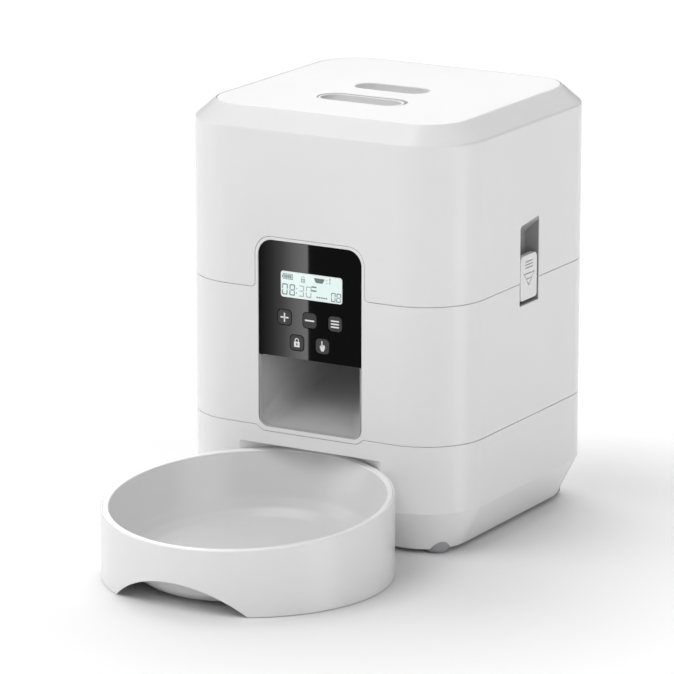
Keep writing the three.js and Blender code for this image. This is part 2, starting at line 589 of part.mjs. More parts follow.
function sideLatch(side) {
  const face = prism(roundedRect(21, 27.4, 3, 0, 153.8), 91.4, HALF - 0.4, "x", 2);
  const stem = block(86, -6, 162, 92, 6, 166.4);
  const arrow = prism(polygon([-6.5, 155.8], [0, 148.8], [6.5, 155.8]), HALF - 0.9, HALF, "x");
  const latch = cut(join(face, stem), arrow);
  return side > 0 ? latch : latch.mirror([1, 0, 0]);
}

// A coil wound from `low` to `high` along Z by a loop over its turns.
class Coil extends THREE.Curve {
  constructor(radius, height, turns) {
    super();
    Object.assign(this, { radius, height, turns });
  }

  getPoint(t, target = new THREE.Vector3()) {
    const angle = 2 * Math.PI * this.turns * t;
    return target.set(this.radius * Math.cos(angle), this.radius * Math.sin(angle), this.height * t);
  }
}

function spring(radius, wire, height, turns) {
  const section = new THREE.Shape().absarc(0, 0, wire / 2, 0, 2 * Math.PI);
  const settings = { extrudePath: new Coil(radius, height, turns), steps: 9 * turns, curveSegments: 3 };
  return solidOf(new THREE.ExtrudeGeometry(section, settings));
}

const latchSpring = (side) => spring(2.4, 0.8, 7, 4).translate([side * 88.3, 0, SHELF_Z + 0.6]);

// ---------------------------------------------------------------- the lid
const LID_HALF = RIM_HALF - 0.4;
const LID_RADIUS = RIM_RADIUS - 0.4;
const LID_LOW_Z = 253;
const CUP_Y = -35.8;
const CUP = { length: 53, width: 14.2, wall: 1.4, depth: 9 };
const CATCH_TRAVEL = 3;
const GRIP = { length: 49, width: 19, y: 5.4, depth: 9 };

function lid() {
  const top = plate(LID_HALF, LID_RADIUS, LID_LOW_Z, TOP_Z);
  const gripWall = prism(stadium(GRIP.length + 3, GRIP.width + 3, GRIP.y), TOP_Z - GRIP.depth - 1.5, TOP_Z - 1);
  const grip = prism(stadium(GRIP.length, GRIP.width, GRIP.y), TOP_Z - GRIP.depth, TOP_Z + 1);
  const cupHole = prism(stadium(CUP.length + 2 * CUP.wall + 2.6, CUP.width + 2 * CUP.wall + CATCH_TRAVEL + 0.9,
    CUP_Y + CATCH_TRAVEL / 2), 240, TOP_Z + 1);
  return cut(join(top, gripWall), grip, cupHole);
}

function lidCatch() {
  const cup = prism(stadium(CUP.length + 2 * CUP.wall, CUP.width + 2 * CUP.wall, CUP_Y), TOP_Z - CUP.depth,
    TOP_Z);
  const hollow = prism(stadium(CUP.length, CUP.width, CUP_Y), TOP_Z - CUP.depth + 1.4, TOP_Z + 2);
  const tongue = block(-8, -74.9, 248.6, 8, CUP_Y - 5, 250.8);
  return cut(join(cup, tongue), hollow);
}

const lidCatchSpring = () => spring(2.2, 0.8, 16, 5).rotate([-90, 0, 0]).translate([0, -26.4, 250.2]);

function lidPan() {
  const pan = cut(plate(75.3, 19, 244, LID_LOW_Z - 0.3), plate(73.3, 17, 246, LID_LOW_Z));
  const slot = block(-9, -80, 248.2, 9, -70, 251.2);
  const hatch = block(-24.4, 25.6, 240, 24.4, 64.4, 250);
  const springSeat = block(-6, -9.6, 245, 6, -7.6, LID_LOW_Z - 0.6);
  return cut(join(pan, springSeat), slot, hatch);
}

const lidSeal = () => cut(plate(80.6, 24, LEDGE_Z + 0.05, LID_LOW_Z - 0.05), plate(76.6, 20, 240, 260));

function desiccantBox() {
  const tub = cut(block(-24, 26, 238, 24, 64, 250), block(-22.5, 27.5, 230, 22.5, 62.5, 248.5));
  return join(tub, cut(block(-26.5, 23.5, 242.2, 26.5, 66.5, 243.7), block(-23, 27, 240, 23, 63, 245)));
}

function desiccantGrille() {
  const slots = Array.from({ length: 7 }, (_, i) => block(-18, 31 + 4.3 * i, 230, 18, 32.8 + 4.3 * i, 245));
  return cut(block(-24, 26, 236, 24, 64, 237.7), ...slots);
}

// ---------------------------------------------------------------- the bowl
const RIM_RISE = Math.tan((RIM_TILT * Math.PI) / 180);
const NOTCH_HALF = 43.9;
const NOTCH_HEIGHT = 16.9;
const TURNED = 48; // sides of the round bowl parts

// Everything under a plane that tilts with the rim, `drop` below it.
function underRim(drop) {
  const y = BOWL_RADIUS + 5;
  const zAt = (along) => RIM_Z - drop + RIM_RISE * along;
  return prism(polygon([-y, -60], [y, -60], [y, zAt(y)], [-y, zAt(-y)]), -y, y, "x");
}

// A turned solid from (radius, height) points that start and end on the axis. A leaning one rises towards the
// back with the rim.
function turned(points, leaning = false) {
  const profile = points.map(([r, z]) => new THREE.Vector2(r, z));
  const geometry = new THREE.LatheGeometry(profile, TURNED);
  geometry.rotateX(Math.PI / 2);
  if (leaning) geometry.applyMatrix4(new THREE.Matrix4().set(1, 0, 0, 0, 0, 1, 0, 0, 0, RIM_RISE, 1, 0, 0, 0, 0, 1));
  return solidOf(geometry);
}

function bowlStand() {
  const outer = turned([[0, 0], [BOWL_RADIUS, 0], [BOWL_RADIUS - 0.4, 60], [0, 60]]);
  const inner = turned([[0, -1], [BOWL_RADIUS - 2, -1], [BOWL_RADIUS - 2.4, 61], [0, 61]]);
  const ring = cut(outer, inner);
  const radius = (NOTCH_HALF ** 2 + NOTCH_HEIGHT ** 2) / (2 * NOTCH_HEIGHT);
  const notchShape = new THREE.Shape().absarc(0, NOTCH_HEIGHT - radius, radius, 0, 2 * Math.PI);
  const notch = prism(notchShape, -BOWL_RADIUS - 5, -BOWL_RADIUS / 2, "y", 24);
  return cut(common(ring, underRim(2.2)), notch);
}

// The dish leans with its rim, whose top slopes inwards, and hangs in the stand by its lip.
function foodBowl() {
  const lip = BOWL_RADIUS - 0.2;
  const outer = turned([[0, 6.2], [58, 6.2], [65.5, 8], [71, 13], [74.3, 20], [82.2, RIM_Z - 1.8],
    [lip, RIM_Z - 1.8], [lip, RIM_Z - 0.4], [lip - 0.8, RIM_Z], [0, RIM_Z]], true);
  const inner = turned([[0, 8.2], [57.5, 8.2], [64, 9.8], [69, 14.3], [72.3, 20.8], [80.9, RIM_Z - 2.1],
    [lip - 1.3, RIM_Z - 0.3], [lip - 1.1, RIM_Z + 5], [0, RIM_Z + 5]], true);
  return cut(outer, inner);
}

// ---------------------------------------------------------------- the assembly
const tower = new THREE.Group();
tower.position.y = TOWER_Y;
const bowl = new THREE.Group();
bowl.position.y = BOWL_Y;

tower.add(mesh("base_shell", baseShell(), white), mesh("bottom_cover", bottomCover(), innerGrey));
SIGNS.forEach(([sx, sy]) => {
  const corner = (sy < 0 ? "front_" : "rear_") + (sx < 0 ? "left" : "right");
  tower.add(mesh("foot_pad_" + corner, footPad(sx, sy), rubber));
  tower.add(mesh("bottom_screw_" + corner, bottomScrew(sx, sy), steel));
});
tower.add(mesh("battery_box", batteryBox(), innerGrey), mesh("battery_door", batteryDoor(), innerGrey));
[0, 1, 2].forEach((column) => tower.add(mesh("battery_" + (column + 1), batteryCell(column), cell)));
tower.add(mesh("contact_plate_front", contactPlate(false), steel));
tower.add(mesh("contact_plate_rear", contactPlate(true), steel));
tower.add(mesh("power_inlet", powerInlet(), rubber), mesh("power_board", powerBoard(), board));

tower.add(mesh("body_housing", bodyHousing(), white), mesh("housing_deck", housingDeck(), innerGrey));
tower.add(mesh("food_chute", foodChute(), innerGrey));
tower.add(mesh("panel_face", panelFace(), glossBlack), mesh("lcd_window", lcdWindow(), lcdTint));
tower.add(mesh("lcd_module", lcdModule(), lcdTint), mesh("key_mat", keyMat(), silicone));
tower.add(mesh("control_board", controlBoard(), board), mesh("panel_back_cover", panelBackCover(), innerGrey));
Object.entries(KEYS).forEach(([name, place]) => tower.add(mesh(name, keyCap(place), keyGrey)));

tower.add(mesh("motor", motor(), steel), mesh("motor_pinion", motorPinion(), gearWhite));
tower.add(mesh("gearbox_case", gearboxCase(), innerGrey), mesh("gearbox_cover", gearboxCover(), innerGrey));
tower.add(mesh("drive_gear", driveGear(), gearWhite));
GEARBOX_SCREWS.forEach((place, i) => tower.add(mesh("gearbox_screw_" + (i + 1), gearboxScrew(place), steel)));

tower.add(mesh("hopper_shell", hopperShell(), white), mesh("hopper_funnel", hopperFunnel(), white));
tower.add(mesh("portion_well", portionWell(), white), mesh("well_floor", wellFloor(), white));
tower.add(mesh("portion_wheel", portionWheel(), innerGrey), mesh("outlet_wiper", outletWiper(), silicone));
[["left", -1], ["right", 1]].forEach(([name, side]) => {
  tower.add(mesh("side_latch_" + name, sideLatch(side), white));
  tower.add(mesh("latch_spring_" + name, latchSpring(side), steel));
});

tower.add(mesh("lid", lid(), brightWhite), mesh("lid_pan", lidPan(), white), mesh("lid_seal", lidSeal(), silicone));
tower.add(mesh("lid_catch", lidCatch(), brightWhite), mesh("lid_catch_spring", lidCatchSpring(), steel));
tower.add(mesh("desiccant_box", desiccantBox(), white), mesh("desiccant_grille", desiccantGrille(), innerGrey));

bowl.add(mesh("bowl_stand", bowlStand(), white), mesh("food_bowl", foodBowl(), white));

const feeder = new THREE.Group();
feeder.add(tower, bowl);
export default feeder;
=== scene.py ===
"""Looks for the automatic pet feeder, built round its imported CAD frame.

Shapes are drawn in millimetres, in the tower's or the bowl's own axes (origin on the floor, at its centre),
and are scaled and placed from the CAD boxes when they are finished.
"""

import math

import bmesh
import bpy
from mathutils import Matrix, Vector
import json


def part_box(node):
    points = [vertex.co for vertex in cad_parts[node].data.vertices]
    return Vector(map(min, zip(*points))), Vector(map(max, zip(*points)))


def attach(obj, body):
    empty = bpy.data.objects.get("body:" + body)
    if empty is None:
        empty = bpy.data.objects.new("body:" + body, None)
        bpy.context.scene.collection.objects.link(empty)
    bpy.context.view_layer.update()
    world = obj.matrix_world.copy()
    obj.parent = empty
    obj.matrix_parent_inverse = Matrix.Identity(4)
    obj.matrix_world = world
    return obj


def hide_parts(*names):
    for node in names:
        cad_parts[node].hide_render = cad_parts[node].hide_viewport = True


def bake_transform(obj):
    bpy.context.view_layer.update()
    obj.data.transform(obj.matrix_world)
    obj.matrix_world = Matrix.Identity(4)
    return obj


# Broad lamps as (bearing from +X, height above the floor, spread, strength), the angles in degrees.
LIGHTS = {
    "top_light": (300, 88, 70, 0.44),
    "rear_light": (120, 45, 60, 1.80),
    "left_low_light": (205, 15, 40, 0.62),
    "left_light": (210, 35, 60, 0.46),
    "left_high_light": (240, 60, 40, 0.93),
    "front_right_light": (338, 35, 60, 0.50),
    "right_low_light": (336, 15, 40, 0.49),
}
# A lamp that only glosses the round corners, as a bright floor to the right would.
STREAK = (3, -14, 24, 0.22)
# The sky's strength at its horizon and its top, and of the plain white that the camera sees in its place.
SKY = {"horizon": 0.05, "zenith": 0.0}
BACKDROP = 1.0
# The floor's whiteness close to the object and away from it, and the distances (in metres) it changes over: a
# painted shadow that darkens the floor near the object.
FLOOR = {"near": 0.88, "far": 0.99, "from": 0.15, "to": 0.36}
# The strength of the softbox edge that the panel reflects.
CARD = 34.0

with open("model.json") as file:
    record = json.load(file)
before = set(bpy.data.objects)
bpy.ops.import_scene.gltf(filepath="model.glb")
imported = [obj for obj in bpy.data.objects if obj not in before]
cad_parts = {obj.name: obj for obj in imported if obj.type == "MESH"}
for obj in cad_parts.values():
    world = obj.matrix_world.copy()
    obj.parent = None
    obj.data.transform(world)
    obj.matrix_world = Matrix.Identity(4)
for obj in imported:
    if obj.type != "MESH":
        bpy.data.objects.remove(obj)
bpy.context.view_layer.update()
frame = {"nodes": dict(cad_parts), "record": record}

MM = 0.001
TAU = 2 * math.pi


def centre(node, axis):
    low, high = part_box(node)
    return (low[axis] + high[axis]) / 2


TOWER = (0.0, centre("hopper_shell", 1), 0.0)
BOWL = (0.0, centre("bowl_stand", 1), 0.0)

# The tower, in millimetres, from its CAD boxes where they say it.
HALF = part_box("hopper_shell")[1][0] / MM
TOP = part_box("hopper_shell")[1][2] / MM
CORNER = 38.5  # radius of its upright edges
WALL = 2.5
SEAM_LOW, SEAM_HIGH = 68.0, 151.5  # heights of its two joint lines
SEAM = 0.26  # their width
SHOULDER, TOP_INSET = 246.5, 12.1  # where the wall starts to lean in, and how far in it ends
FRONT = -HALF
WINDOW = {"half": 35.1, "low": 67.5, "high": 181.2}  # the opening for the panel and the chute
FRAME = 1.9  # from the window to the joint line round it
PANEL_LOW = 111.3
RECESS = {"half": 48.5, "top": 56.8, "depth": 17.0}  # the hollow for the bowl
SLOT = {"front": -11.0, "rear": 11.9, "low": 138.2, "high": 188.7}  # the side latches' slot, in y and z
POCKET_X = 85.5  # the back of the finger pockets

# The bowl: its radius, the middle height of its rim and the rim's slope.
BOWL_R, RIM_Z, RIM_RISE = 85.2, 45.35, math.tan(math.radians(5.0))

# Cutters begin and end well outside the front, behind the front wall, and well beyond the sides.
OUTSIDE, INSIDE, WIDE = -110, -80, 110


# ---------------------------------------------------------------- outlines
def arc(cx, cy, r, a0, a1, n):
    steps = [math.radians(a0 + (a1 - a0) * i / n) for i in range(n + 1)]
    return [(cx + r * math.cos(a), cy + r * math.sin(a)) for a in steps]


def rounded(hx, hy, r, n=12, cx=0.0, cy=0.0):
    points = []
    for sx, sy, a in ((1, -1, -90), (1, 1, 0), (-1, 1, 90), (-1, -1, 180)):
        points += arc(cx + sx * (hx - r), cy + sy * (hy - r), r, a, a + 90, n)
    return points


def stadium(length, width, cy=0.0, cx=0.0, n=20):
    reach = (length - width) / 2
    return arc(cx + reach, cy, width / 2, -90, 90, n) + arc(cx - reach, cy, width / 2, 90, 270, n)


def arch(half, low, high, top_r, low_r, n=10):
    """An upright window outline, with its own radii at the top and the bottom corners."""
    return (
        arc(half - low_r, low + low_r, low_r, -90, 0, n)
        + arc(half - top_r, high - top_r, top_r, 0, 90, n)
        + arc(top_r - half, high - top_r, top_r, 90, 180, n)
        + arc(low_r - half, low + low_r, low_r, 180, 270, n)
    )


def filleted(points, closed=True, step=9.0):
    """A path through (x, y, radius) points, with each corner rounded to its radius."""
    out = []
    count = len(points)
    for i, (x, y, r) in enumerate(points):
        if r <= 0 or (not closed and i in (0, count - 1)):
            out.append((x, y))
            continue
        p = Vector((x, y))
        a = Vector(points[i - 1][:2]) - p
        b = Vector(points[(i + 1) % count][:2]) - p
        la, lb = a.length, b.length
        a.normalize()
        b.normalize()
        half = a.angle(b) / 2
        reach = min(r / math.tan(half), la * 0.49, lb * 0.49)
        radius = reach * math.tan(half)
        centre = p + (a + b).normalized() * (radius / math.sin(half))
        v0, v1 = p + a * reach - centre, p + b * reach - centre
        a0 = math.atan2(v0.y, v0.x)
        turn = (math.atan2(v1.y, v1.x) - a0 + math.pi) % TAU - math.pi
        parts = max(2, math.ceil(abs(math.degrees(turn)) / step))
        for k in range(parts + 1):
            t = a0 + turn * k / parts
            out.append((centre.x + radius * math.cos(t), centre.y + radius * math.sin(t)))
    return out


# ---------------------------------------------------------------- solids
def linked(name, data):
    """A new object in the scene."""
    obj = bpy.data.objects.new(name, data)
    bpy.context.scene.collection.objects.link(obj)
    return obj


def make(name, verts, faces):
    mesh = bpy.data.meshes.new(name)
    mesh.from_pydata([tuple(v) for v in verts], [], faces)
    work = bmesh.new()
    work.from_mesh(mesh)
    bmesh.ops.remove_doubles(work, verts=work.verts, dist=1e-4)
    bmesh.ops.recalc_face_normals(work, faces=work.faces)
    work.to_mesh(mesh)
    work.free()
    return linked(name, mesh)


def loft(name, rings, ends="caps"):
    """A skin over rings of equal length. Its ends are "caps", which closes both, "loop", which joins the last
    ring to the first, or "open", for rings that begin and end on an axis."""
    n = len(rings[0])
    verts = [v for ring in rings for v in ring]
    faces = []
    spans = len(rings) if ends == "loop" else len(rings) - 1
    for i in range(spans):
        a, b = i * n, ((i + 1) % len(rings)) * n
        faces += [(a + k, a + (k + 1) % n, b + (k + 1) % n, b + k) for k in range(n)]
    if ends == "caps":
        faces += [tuple(reversed(range(n))), tuple(range(len(verts) - n, len(verts)))]
    return make(name, verts, faces)


def prism(name, outline, low, high, axis="z"):
    """An outline in (x, y), (x, z) or (y, z), pushed out along the remaining axis."""
    place = {
        "z": lambda u, v, w: (u, v, w),
        "y": lambda u, v, w: (u, w, v),
        "x": lambda u, v, w: (w, u, v),
    }[axis]
    return loft(name, [[place(u, v, w) for u, v in outline] for w in (low, high)])


def block(name, low, high):
    outline = [(low[0], low[1]), (high[0], low[1]), (high[0], high[1]), (low[0], high[1])]
    return prism(name, outline, low[2], high[2])


def turned(name, profile, sides=128, lift=None):
    """A profile of (radius, z) points turned about Z. lift(x, y, z) moves a point up."""
    rings = []
    for r, z in profile:
        ring = []
        for k in range(sides):
            x, y = r * math.cos(TAU * k / sides), r * math.sin(TAU * k / sides)
            ring.append((x, y, z + (lift(x, y, z) if lift else 0.0)))
        rings.append(ring)
    return loft(name, rings, "loop" if profile[0][0] > 0 else "open")


def applied(obj):
    graph = bpy.context.evaluated_depsgraph_get()
    mesh = bpy.data.meshes.new_from_object(obj.evaluated_get(graph), depsgraph=graph)
    old = obj.data
    obj.modifiers.clear()
    obj.data = mesh
    bpy.data.meshes.remove(old)
    return obj


def combined(obj, *tools, how="DIFFERENCE"):
    for tool in tools:
        step = obj.modifiers.new("boolean", "BOOLEAN")
        step.operation = how
        step.solver = "EXACT"
        step.object = tool
        applied(obj)
        bpy.data.objects.remove(tool)
    return obj


def welded(obj, reach, flat=0.0):
    """Merges points closer than reach and, given an angle in degrees, faces that are nearly flat together."""
    work = bmesh.new()
    work.from_mesh(obj.data)
    bmesh.ops.remove_doubles(work, verts=work.verts, dist=reach)
    bmesh.ops.dissolve_degenerate(work, edges=work.edges, dist=reach)
    if flat:
        bmesh.ops.dissolve_limit(
            work,
            angle_limit=math.radians(flat),
            verts=work.verts,
            edges=work.edges,
            use_dissolve_boundaries=False,
        )
    work.to_mesh(obj.data)
    work.free()
    return obj


def tidy(obj, flat=0.3):
    """Merges what a boolean splits: doubled points and flat neighbours."""
    return welded(obj, 2e-3, flat)


def soften(obj, width, segments=3, angle=34):
    """Rounds every edge sharper than the angle, as a mould does."""
    bevel = obj.modifiers.new("bevel", "BEVEL")
    bevel.width = width
    bevel.segments = segments
    bevel.limit_method = "ANGLE"
    bevel.angle_limit = math.radians(angle)
    bevel.miter_outer = "MITER_ARC"
    bevel.use_clamp_overlap = True
    return welded(applied(obj), 5e-4)


def shade(obj, angle=42):
    mesh = obj.data
    for face in mesh.polygons:
        face.use_smooth = True
    mesh.set_sharp_from_angle(angle=math.radians(angle))
    weighted = obj.modifiers.new("normals", "WEIGHTED_NORMAL")
    weighted.keep_sharp = True
    weighted.weight = 80
    return applied(obj)


def settle(obj, origin, body, material, slot, *nodes):
    """Scales a finished piece to metres, puts it in place, ties it to its body and hides the CAD nodes it
    stands for.
    """
    shade(obj)
    obj.data.transform(Matrix.Translation(Vector(origin)) @ Matrix.Scale(MM, 4))
    obj.data.materials.clear()
    obj.data.materials.append(material)
    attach(obj, body)
    if nodes:
        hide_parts(*nodes)


# ---------------------------------------------------------------- materials
def plastic(
    name, color, rough, grain=0.012, tint=0.012, scale=900.0, wave=0.0, specular=0.5, metallic=0.0
):
    """A moulded plastic: faint colour drift, uneven gloss, and a fine skin texture as bump."""
    mat = bpy.data.materials.new(name)
    mat.use_nodes = True
    nodes, links = mat.node_tree.nodes, mat.node_tree.links
    shader = nodes["Principled BSDF"]
    where = nodes.new("ShaderNodeTexCoord")

    drift = nodes.new("ShaderNodeTexNoise")
    drift.inputs["Scale"].default_value = 14.0
    drift.inputs["Detail"].default_value = 3.0
    links.new(where.outputs["Object"], drift.inputs["Vector"])
    ramp = nodes.new("ShaderNodeValToRGB")
    ramp.color_ramp.elements[0].position = 0.3
    ramp.color_ramp.elements[1].position = 0.7
    ramp.color_ramp.elements[0].color = [c * (1 - tint) for c in color] + [1]
    ramp.color_ramp.elements[1].color = [min(1.0, c * (1 + tint)) for c in color] + [1]
    links.new(drift.outputs["Fac"], ramp.inputs["Fac"])
    links.new(ramp.outputs["Color"], shader.inputs["Base Color"])

    skin = nodes.new("ShaderNodeTexNoise")
    skin.inputs["Scale"].default_value = scale
    skin.inputs["Detail"].default_value = 2.0
    links.new(where.outputs["Object"], skin.inputs["Vector"])
    gloss = nodes.new("ShaderNodeMapRange")
    gloss.inputs["To Min"].default_value = max(0.02, rough - 0.03)
    gloss.inputs["To Max"].default_value = rough + 0.03
    links.new(drift.outputs["Fac"], gloss.inputs["Value"])
    links.new(gloss.outputs["Result"], shader.inputs["Roughness"])

    bump = nodes.new("ShaderNodeBump")
    bump.inputs["Strength"].default_value = grain * 8
    bump.inputs["Distance"].default_value = 0.00002
    links.new(skin.outputs["Fac"], bump.inputs["Height"])
    if wave:
        slow = nodes.new("ShaderNodeTexNoise")
        slow.inputs["Scale"].default_value = 22.0
        slow.inputs["Detail"].default_value = 1.0
        links.new(where.outputs["Object"], slow.inputs["Vector"])
        under = nodes.new("ShaderNodeBump")
        under.inputs["Strength"].default_value = wave
        under.inputs["Distance"].default_value = 0.0004
        links.new(slow.outputs["Fac"], under.inputs["Height"])
        links.new(under.outputs["Normal"], bump.inputs["Normal"])
    links.new(bump.outputs["Normal"], shader.inputs["Normal"])
    shader.inputs["Metallic"].default_value = metallic
    shader.inputs["Specular IOR Level"].default_value = specular
    return mat


WHITE = plastic("shell_white", (0.82, 0.82, 0.823), 0.22, wave=0.02)
LID_WHITE = plastic("lid_white", (0.86, 0.86, 0.86), 0.34)
# A lighter copy of the dish's plastic for the bowl's rim: painted light on the rim.
RIM_LIT_WHITE = plastic("rim_painted_light", (0.92, 0.92, 0.92), 0.25)
INNER_WHITE = plastic("inner_white", (0.78, 0.78, 0.775), 0.42, grain=0.03)
INNER_GREY = plastic("inner_grey", (0.52, 0.53, 0.54), 0.45, grain=0.05, scale=1400)
CHUTE_GREY = plastic("chute_grey", (0.43, 0.43, 0.435), 0.34, grain=0.03)
# A darker copy of the lid's plastic for the rear finger slot: painted shade.
GRIP_SHADE_WHITE = plastic("grip_painted_shade", (0.72, 0.72, 0.72), 0.40, grain=0.02)
# A still darker copy of the lid's plastic inside the catch's cup: painted shade.
CATCH_SHADE_WHITE = plastic("catch_painted_shade", (0.57, 0.57, 0.57), 0.40, grain=0.02)
DISH_WHITE = plastic("dish_white", (0.72, 0.72, 0.722), 0.30, wave=0.02)
POCKET_GREY = plastic("pocket_grey", (0.33, 0.33, 0.33), 0.45, grain=0.03)
BLACK = plastic("panel_black", (0.0012, 0.0011, 0.0012), 0.0, grain=0.0, tint=0.2, specular=0.05)
KEY = plastic("key_grey", (0.034, 0.033, 0.036), 0.42, grain=0.05, scale=2200, tint=0.05)
INK = plastic("symbol_white", (0.86, 0.86, 0.86), 0.5, grain=0.0)
LCD = plastic("display_mint", (0.80, 0.94, 0.91), 0.12, grain=0.0, tint=0.01, specular=0.03)
LCD.node_tree.nodes["Principled BSDF"].inputs["Emission Color"].default_value = (0.86, 1.0, 0.98, 1)
LCD.node_tree.nodes["Principled BSDF"].inputs["Emission Strength"].default_value = 0.1
LCD_EDGE = plastic("display_edge", (0.95, 0.98, 0.97), 0.3, grain=0.0, specular=0.2)
SEGMENT = plastic("display_segment", (0.20, 0.23, 0.23), 0.4, grain=0.0, specular=0.1)
FAINT = plastic("display_faint", (0.46, 0.53, 0.52), 0.4, grain=0.0, specular=0.1)
SILICONE = plastic("silicone", (0.55, 0.57, 0.58), 0.6, grain=0.08)
RUBBER = plastic("foot_rubber", (0.34, 0.34, 0.35), 0.7, grain=0.12, scale=1600)
BOARD = plastic("board_green", (0.02, 0.13, 0.07), 0.35, grain=0.1, tint=0.15, scale=500)
GEAR = plastic("gear_cream", (0.78, 0.74, 0.64), 0.42, grain=0.04)
STEEL = plastic("steel", (0.60, 0.61, 0.63), 0.28, grain=0.1, tint=0.06, scale=700, metallic=1.0)
CELL = plastic("cell_blue", (0.04, 0.10, 0.30), 0.25, grain=0.02, tint=0.1)
SOCKET = plastic("inlet_black", (0.02, 0.02, 0.02), 0.4, grain=0.08)

SLOT_MATERIALS = {
    "shell_white": WHITE,
    "lid_white": LID_WHITE,
    "inner_white": INNER_WHITE,
    "inner_grey": INNER_GREY,
    "panel_black": BLACK,
    "lcd_glass": LCD,
    "key_grey": KEY,
    "silicone": SILICONE,
    "foot_rubber": RUBBER,
    "board_green": BOARD,
    "steel": STEEL,
    "gear_cream": GEAR,
    "cell_blue": CELL,
    "inlet_black": SOCKET,
}
for part in frame["record"]["subparts"]:
    node = frame["nodes"][part["node"]]
    node.data.materials.clear()
    node.data.materials.append(SLOT_MATERIALS[part["material_slot"]])


# ---------------------------------------------------------------- the tower's three shells
def tower_ring(inset, z):
    half = HALF - inset
    return [(x, y, z) for x, y in rounded(half, half, max(CORNER - inset, 1.0), 14)]


def shell(name, profile, ends="loop"):
    """A closed skin round the tower from a profile of (inset, z) points."""
    return loft(name, [tower_ring(inset, z) for inset, z in profile], ends)


# The hopper shell: straight wall, soft shoulder, chamfer and a rim that takes the lid.
RIM = TOP_INSET + 0.6
hopper_profile = filleted(
    [
        (0, SEAM_HIGH + SEAM, 0.3),
        (0, SHOULDER, 2.4),
        (TOP_INSET, TOP, 0.6),
        (RIM, TOP, 0.15),
        (RIM, 251.5, 0.3),
        (19.0, 251.5, 0.3),
        (19.0, 249.4, 0.3),
        (WALL, 238.0, 3.0),
        (WALL, SEAM_HIGH + SEAM, 0.3),
    ]
)
hopper = shell("hopper_shell_skin", hopper_profile)
# The seam round the panel: up one side, over the top and down, rounded at the top (ARCH_R) and where it meets
# the level seam (TURN_R).
ARCH_HALF, ARCH_TOP = WINDOW["half"] + FRAME, WINDOW["high"] + FRAME
ARCH_R, TURN_R = 11, 3.0
arch_cut = filleted(
    [
        (-60, 60, 0),
        (60, 60, 0),
        (60, SEAM_HIGH + SEAM, 0),
        (ARCH_HALF + SEAM, SEAM_HIGH + SEAM, TURN_R - SEAM),
        (ARCH_HALF + SEAM, ARCH_TOP + SEAM, ARCH_R + SEAM),
        (-ARCH_HALF - SEAM, ARCH_TOP + SEAM, ARCH_R + SEAM),
        (-ARCH_HALF - SEAM, SEAM_HIGH + SEAM, TURN_R - SEAM),
        (-60, SEAM_HIGH + SEAM, 0),
    ]
)
combined(hopper, prism("cut", arch_cut, -HALF - 5, -HALF + 6, "y"))


def slot_outline(low, high, grow=0.0):
    """The slot's outline in (y, z): its upper edge falls a little towards the front."""
    front, rear = SLOT["front"] - grow, SLOT["rear"] + grow
    return filleted([(front, low, 0.4), (rear, low, 0.4), (rear, high, 2.0), (front, high - 2.9, 2.4)])


# The wall is cut a little larger than the slot, and the pocket's sleeve lines the cut.
SLOT_CUT, SLEEVE = 0.4, 0.36


def latch_slot(side, low, high):
    return prism("cut", slot_outline(low, high, SLOT_CUT), *sorted((side * 88.0, side * 100.0)), "x")


combined(hopper, *[latch_slot(side, 120, SLOT["high"] + SLOT_CUT) for side in (-1, 1)])
soften(tidy(hopper), 0.3, 2)
settle(hopper, TOWER, "hopper", WHITE, "shell_white", "hopper_shell")

# The middle housing: the front wall rises into an arch round the panel and dips under the chute.
housing = shell("body_housing_skin", [(0, 60), (0, 190), (WALL, 190), (WALL, 60)])
above = filleted(
    [
        (-WIDE, SEAM_HIGH, 0),
        (-ARCH_HALF, SEAM_HIGH, TURN_R),
        (-ARCH_HALF, ARCH_TOP, ARCH_R),
        (ARCH_HALF, ARCH_TOP, ARCH_R),
        (ARCH_HALF, SEAM_HIGH, TURN_R),
        (WIDE, SEAM_HIGH, 0),
        (WIDE, 200, 0),
        (-WIDE, 200, 0),
    ]
)
# The lower seam dips under the chute.
DIP_LOW, DIP_WIDE, DIP_NARROW = 64.9, 36.2, 32.2
below = filleted(
    [
        (-WIDE, 50, 0),
        (WIDE, 50, 0),
        (WIDE, SEAM_LOW, 0),
        (DIP_WIDE, SEAM_LOW, 2.4),
        (DIP_NARROW, DIP_LOW, 5.0),
        (-DIP_NARROW, DIP_LOW, 5.0),
        (-DIP_WIDE, SEAM_LOW, 2.4),
        (-WIDE, SEAM_LOW, 0),
    ]
)
combined(
    housing,
    prism("cut", above, OUTSIDE, INSIDE, "y"),
    prism("cut", below, OUTSIDE, INSIDE, "y"),
    block("cut", (-WIDE, -85, SEAM_HIGH), (WIDE, WIDE, 200)),
    block("cut", (-WIDE, -85, 50), (WIDE, WIDE, SEAM_LOW)),
    prism("cut", arch(WINDOW["half"], WINDOW["low"], WINDOW["high"], 9.5, 6.2, 14), OUTSIDE, INSIDE, "y"),
    *[latch_slot(side, SLOT["low"] - SLOT_CUT, 200) for side in (-1, 1)],
)
soften(tidy(housing), 0.3, 2)
settle(housing, TOWER, "tower", WHITE, "shell_white", "body_housing")

